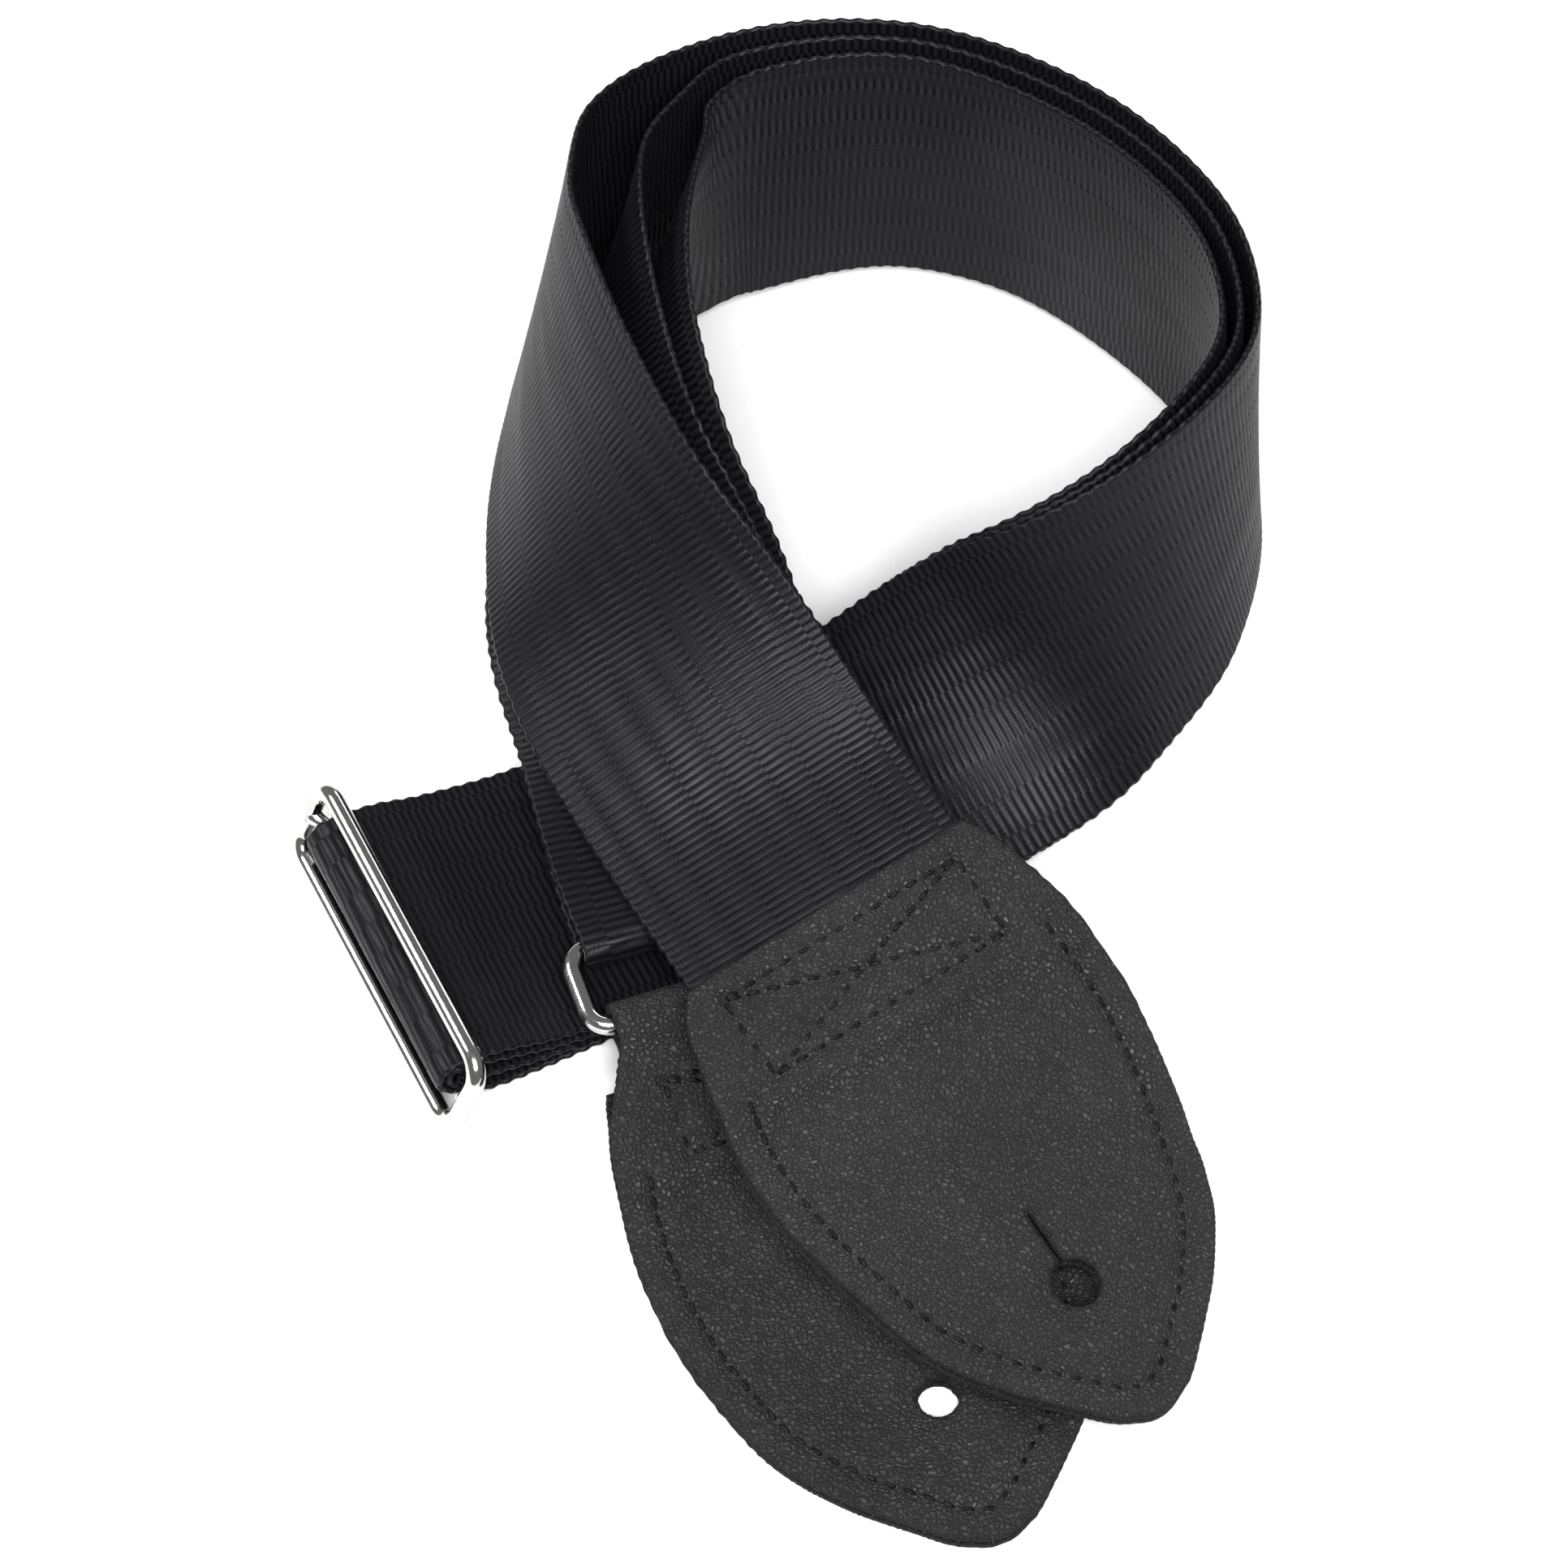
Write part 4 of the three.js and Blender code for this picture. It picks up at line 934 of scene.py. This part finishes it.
def add_rear_tab(skin, suede, thread):
    down = -RING_LEVEL
    stations = []
    for distance, drift, z, lean in REAR_TAB_RUN:
        spot = TAB_BAR + down * distance + RING_BAR * drift
        stations.append((spot[0], spot[1], z, lean))
    run = Run(stations)
    flap_height = GAP / 2 + LEATHER_FRONT / 2
    over_flap = flap_height + LEATHER_FRONT + GAP
    back_height = -(GAP / 2 + LEATHER_BACK / 2)

    def front_height(d):
        return over_flap + (flap_height - over_flap) * ease(d, SEWN_LENGTH - 3, SEWN_LENGTH + 1)

    def lifted(d, height):
        frames = run_frames(run, np.clip(REAR_TAB_HEAD + d, 0, run.length))
        frames.middle = frames.middle + frames.normal * height[:, None]
        return frames

    # The main leather goes on over the bar and back under itself as a flap, so one strip of frames
    # serves the whole piece. Distances before `lead` are on the flap and round the bar.
    lead = 2.5
    hug = WIRE_RADIUS + GAP + 0.1 + LEATHER_FRONT / 2
    main_spots = np.arange(lead, TAB_LENGTH + 2, 0.5)
    main = lifted(main_spots, front_height(main_spots))
    angles = np.radians(np.linspace(110, -110, 40))
    round_bar = np.cos(angles)[:, None] * RING_LEVEL + np.sin(angles)[:, None] * RING_UPRIGHT
    wide = np.repeat(RING_BAR[None], len(angles), axis=0)
    wrap = Frames(TAB_BAR + round_bar * hug, -wide, round_bar)
    flap_spots = np.arange(3.0, SEWN_LENGTH - 5, 0.5)
    flap = lifted(flap_spots, np.full(len(flap_spots), flap_height))
    flap = Frames(flap.middle, flap.across, -flap.normal)
    strip_frames = Frames(
        np.concatenate([flap.middle[::-1], wrap.middle[::-1], main.middle]),
        np.concatenate([flap.across[::-1], wrap.across[::-1], main.across]),
        np.concatenate([flap.normal[::-1], wrap.normal[::-1], main.normal]),
    )
    spots = strip_frames.spots()
    start_of_main = spots[len(flap_spots) + len(angles)]
    spots = spots - start_of_main + lead

    def place(flat):
        frames = strip_frames.picked(flat[:, 1], spots)
        frames.middle = frames.middle + frames.across * flat[:, :1]
        return frames

    seam = seam_line(SEWN_LENGTH - 5.0)
    box = box_lines(7.0, SEWN_LENGTH - 5.0, 20.0)
    ridge = {"at": SEWN_LENGTH - 2.0, "width": 1.8, "height": 0.4, "half": 23.0}

    def relief(flat):
        on_main = ease(flat[:, 1], 1.0, 5.0)
        return tab_relief(flat, box, ridge, REAR_HOLE, seam) * on_main

    side = outline_side(OUTLINE_STEP)
    side = side[side[:, 1] > 12]
    half = WEBBING_WIDTH / 2 - 0.5
    flap_top = spots[0]
    straight = np.arange(flap_top, -1.0, 0.5)
    shoulder = np.linspace(-1.0, 12, 26)
    ease_out = half + (side[0, 0] - half) * (shoulder + 1.0) / 13
    right = np.concatenate([
        np.stack([np.full_like(straight, half), straight], 1), np.stack([ease_out, shoulder], 1), side[1:],
    ])
    across_end = np.stack([np.linspace(-half, half, 60)[1:-1], np.full(58, flap_top)], 1)
    outline = np.concatenate([right, tab_tip(OUTLINE_STEP), right[::-1] * np.array([-1.0, 1.0]), across_end])
    hole = hole_line(REAR_HOLE)
    front = leather_piece(
        "tab_rear_leather", outline, [hole], place, LEATHER_FRONT, relief, skin, "rear_tab",
    )
    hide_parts("rear_tab_leather")

    def place_back(flat):
        frames = lifted(flat[:, 1], np.full(len(flat), back_height))
        frames.middle = frames.middle + frames.across * flat[:, :1]
        return frames

    outline = tab_outline(OUTLINE_STEP, 5.0)
    back = leather_piece(
        "tab_rear_backing", outline, [hole], place_back, LEATHER_BACK, no_relief, suede, "rear_tab",
    )
    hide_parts("rear_tab_backing")

    def surface(flat):
        frames = place(flat)
        lift = LEATHER_FRONT / 2 + relief(flat)
        return frames.middle + frames.normal * lift[:, None], frames

    add_stitches("tab_rear_edge_stitches", [seam], surface, thread, "rear_tab", "rear_tab_edge_thread")
    add_stitches("tab_rear_box_stitches", box, surface, thread, "rear_tab", "rear_tab_box_thread")


# ---- hardware --------------------------------------------------------------------------------------
def tube(line, radii, closed, sides=24):
    """Points and faces of a round wire along a line, turned with the line."""
    ahead = np.roll(line, -1, axis=0) if closed else np.concatenate([line[1:], line[-1:]])
    behind = np.roll(line, 1, axis=0) if closed else np.concatenate([line[:1], line[:-1]])
    travel = unit(ahead - behind)
    if closed:
        up = unit(np.cross(line[1] - line[0], line[len(line) // 3] - line[0]))
    else:
        up = unit(np.cross(travel[0], UP))
    side = unit(np.cross(travel, up))
    angles = np.linspace(0, 2 * math.pi, sides, endpoint=False)
    upright = np.cross(side, travel)[:, None, :]
    circle = np.cos(angles)[None, :, None] * side[:, None, :] + np.sin(angles)[None, :, None] * upright
    points = (line[:, None, :] + radii[:, None, None] * circle).reshape(-1, 3)
    faces = []
    last = len(line) if closed else len(line) - 1
    for i in range(last):
        j = (i + 1) % len(line)
        for k in range(sides):
            m = (k + 1) % sides
            faces.append((i * sides + k, j * sides + k, j * sides + m, i * sides + m))
    if not closed:
        faces.append(tuple(range(sides)))
        faces.append(tuple((len(line) - 1) * sides + k for k in reversed(range(sides))))
    return points, faces


def oblong(length, width, corner, centre, along, across):
    """The middle line of a wire bent to an oblong with round corners."""
    per_corner, per_side = 12, 10
    half_x, half_y = length / 2 - corner, width / 2 - corner

    def on_corner(c, turns):
        angle = math.pi / 2 * turns
        x = half_x if c in (0, 3) else -half_x
        y = half_y if c < 2 else -half_y
        return np.array([x + corner * math.cos(angle), y + corner * math.sin(angle)])

    line = []
    for c in range(4):
        line += [on_corner(c, c + k / per_corner) for k in range(per_corner + 1)]
        start, stop = line[-1], on_corner((c + 1) % 4, c + 1)
        line += [start + (stop - start) * k / per_side for k in range(1, per_side)]
    flat = np.array(line)
    return centre + flat[:, :1] * along + flat[:, 1:] * across


def add_hardware(metal):
    ring_centre = RING_FOLD_BAR - RING_ACROSS * RING_SPACING / 2
    length = RING_LENGTH - 2 * WIRE_RADIUS
    line = oblong(length, RING_SPACING, RING_CORNER, ring_centre, RING_BAR, RING_ACROSS)
    swell = np.full(len(line), WIRE_RADIUS)
    seam = np.argmin(np.linalg.norm(line - (TAB_BAR + RING_BAR * 6.0), axis=1))
    swell[seam] = WIRE_RADIUS * 0.93  # the butt joint where the wire's ends meet
    ring = make_piece("ring_wire", *tube(line, swell, True), metal, "ring", "wire")
    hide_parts("ring")
    across = -SLIDER_OUT * SLIDER_DOWN[0] - UP * SLIDER_DOWN[1]
    centre = in_slider(FRAME_CENTRE)
    line = oblong(SLIDER_LENGTH - 2 * WIRE_RADIUS, BAR_SPACING, SLIDER_CORNER, centre, SLIDER_BAR, across)
    radii = np.full(len(line), WIRE_RADIUS)
    frame_wire = make_piece("slider_wire", *tube(line, radii, True), metal, "slider", "wire")
    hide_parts("slider_frame")
    # The centre bar ends in flattened welds on the frame's side wires.
    reach = SLIDER_LENGTH / 2 - WIRE_RADIUS - 0.6
    spots = np.concatenate([np.linspace(-reach, -reach + 4, 9), np.linspace(reach - 4, reach, 9)])
    line = in_slider(CENTRE_BAR) + spots[:, None] * SLIDER_BAR
    face = SLIDER_OUT * SLIDER_FACE[0] + UP * SLIDER_FACE[1]
    from_end = reach - np.abs(spots)
    bend = np.exp(-((from_end / 1.7) ** 2))
    line = line + face * (bend * CENTRE_BAR_SETBACK * 0.8)[:, None]
    radii = CENTRE_BAR_RADIUS * (1 + 0.35 * np.exp(-((from_end / 0.9) ** 2)))
    bar = make_piece("slider_bar", *tube(line, radii, False), metal, "slider", "wire")
    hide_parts("slider_centre_bar")


# ---- floor and light ---------------------------------------------------------------------------------
def add_light(name, place, size, power):
    data = bpy.data.lights.new(name, "AREA")
    data.shape = "RECTANGLE"
    data.size, data.size_y = size
    data.energy = power
    lamp = bpy.data.objects.new(name, data)
    lamp.location = place
    lamp.rotation_euler = (Vector(LIGHT_AIM) - Vector(place)).to_track_quat("-Z", "Y").to_euler()
    bpy.context.scene.collection.objects.link(lamp)


def add_stage():
    half = 3.0
    mesh = bpy.data.meshes.new("floor")
    corners = [(-half, -half, 0), (half, -half, 0), (half, half, 0), (-half, half, 0)]
    mesh.from_pydata(corners, [], [(0, 1, 2, 3)])
    mesh.materials.append(floor_material())
    floor = bpy.data.objects.new("floor", mesh)
    bpy.context.scene.collection.objects.link(floor)
    world = bpy.data.worlds.new("studio")
    world.use_nodes = True
    world.node_tree.nodes["Background"].inputs["Color"].default_value = (1.0, 1.0, 1.0, 1.0)
    world.node_tree.nodes["Background"].inputs["Strength"].default_value = 0.22
    bpy.context.scene.world = world
    add_light("front", (0.15, -0.85, 1.45), (1.0, 0.8), 46.0)
    add_light("key", (-1.0, 0.25, 1.0), (0.45, 0.45), 13.0)
    add_light("back", (0.5, 1.3, 0.7), (0.7, 0.5), 4.0)
    bpy.context.scene.view_settings.view_transform = "Standard"


# ---- the whole strap -----------------------------------------------------------------------------------
def add_strap():
    nylon = webbing_material()
    path, ends = webbing_path()
    outer_end, weave_end, _, _, middle_end, loop_end = ends
    hidden = 24.0  # how far before the slider's profiles each stretch changes over, under the crossing
    cuts = [0.0, outer_end - hidden, weave_end + hidden, middle_end - hidden, loop_end]
    front = add_webbing("webbing_front", path, cuts[0], cuts[1], nylon)
    weave = add_webbing("webbing_weave", path, cuts[1], cuts[2], nylon)
    back = add_webbing("webbing_back", path, cuts[2], cuts[3], nylon, "strap")
    loop = add_webbing("webbing_loop", path, cuts[3], cuts[4], nylon)
    sides = ["left", "far", "right"]
    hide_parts("webbing_front_end", "webbing_outer_crossing", *[f"webbing_outer_{s}" for s in sides])
    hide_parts("webbing_slider_weave")
    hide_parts("webbing_sewn_loop")
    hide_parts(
        "webbing_ring_fold", "webbing_inner_crossing", "webbing_middle_crossing",
        *[f"webbing_{name}_{s}" for name in ("inner", "middle") for s in sides],
    )
    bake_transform(front)
    for piece in (weave, loop):
        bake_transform(piece)


add_camera()
add_strap()
skin = leather_material("leather_pebbled", (0.0020, 0.0019, 0.0019), (0.034, 0.0330, 0.0335), 0.01)
suede = leather_material("leather_backing", (0.003, 0.0029, 0.0028), (0.008, 0.0077, 0.0074), 0.03)
thread = thread_material()
add_front_tab(skin, suede, thread)
add_rear_tab(skin, suede, thread)
add_hardware(wire_material())
add_stage()
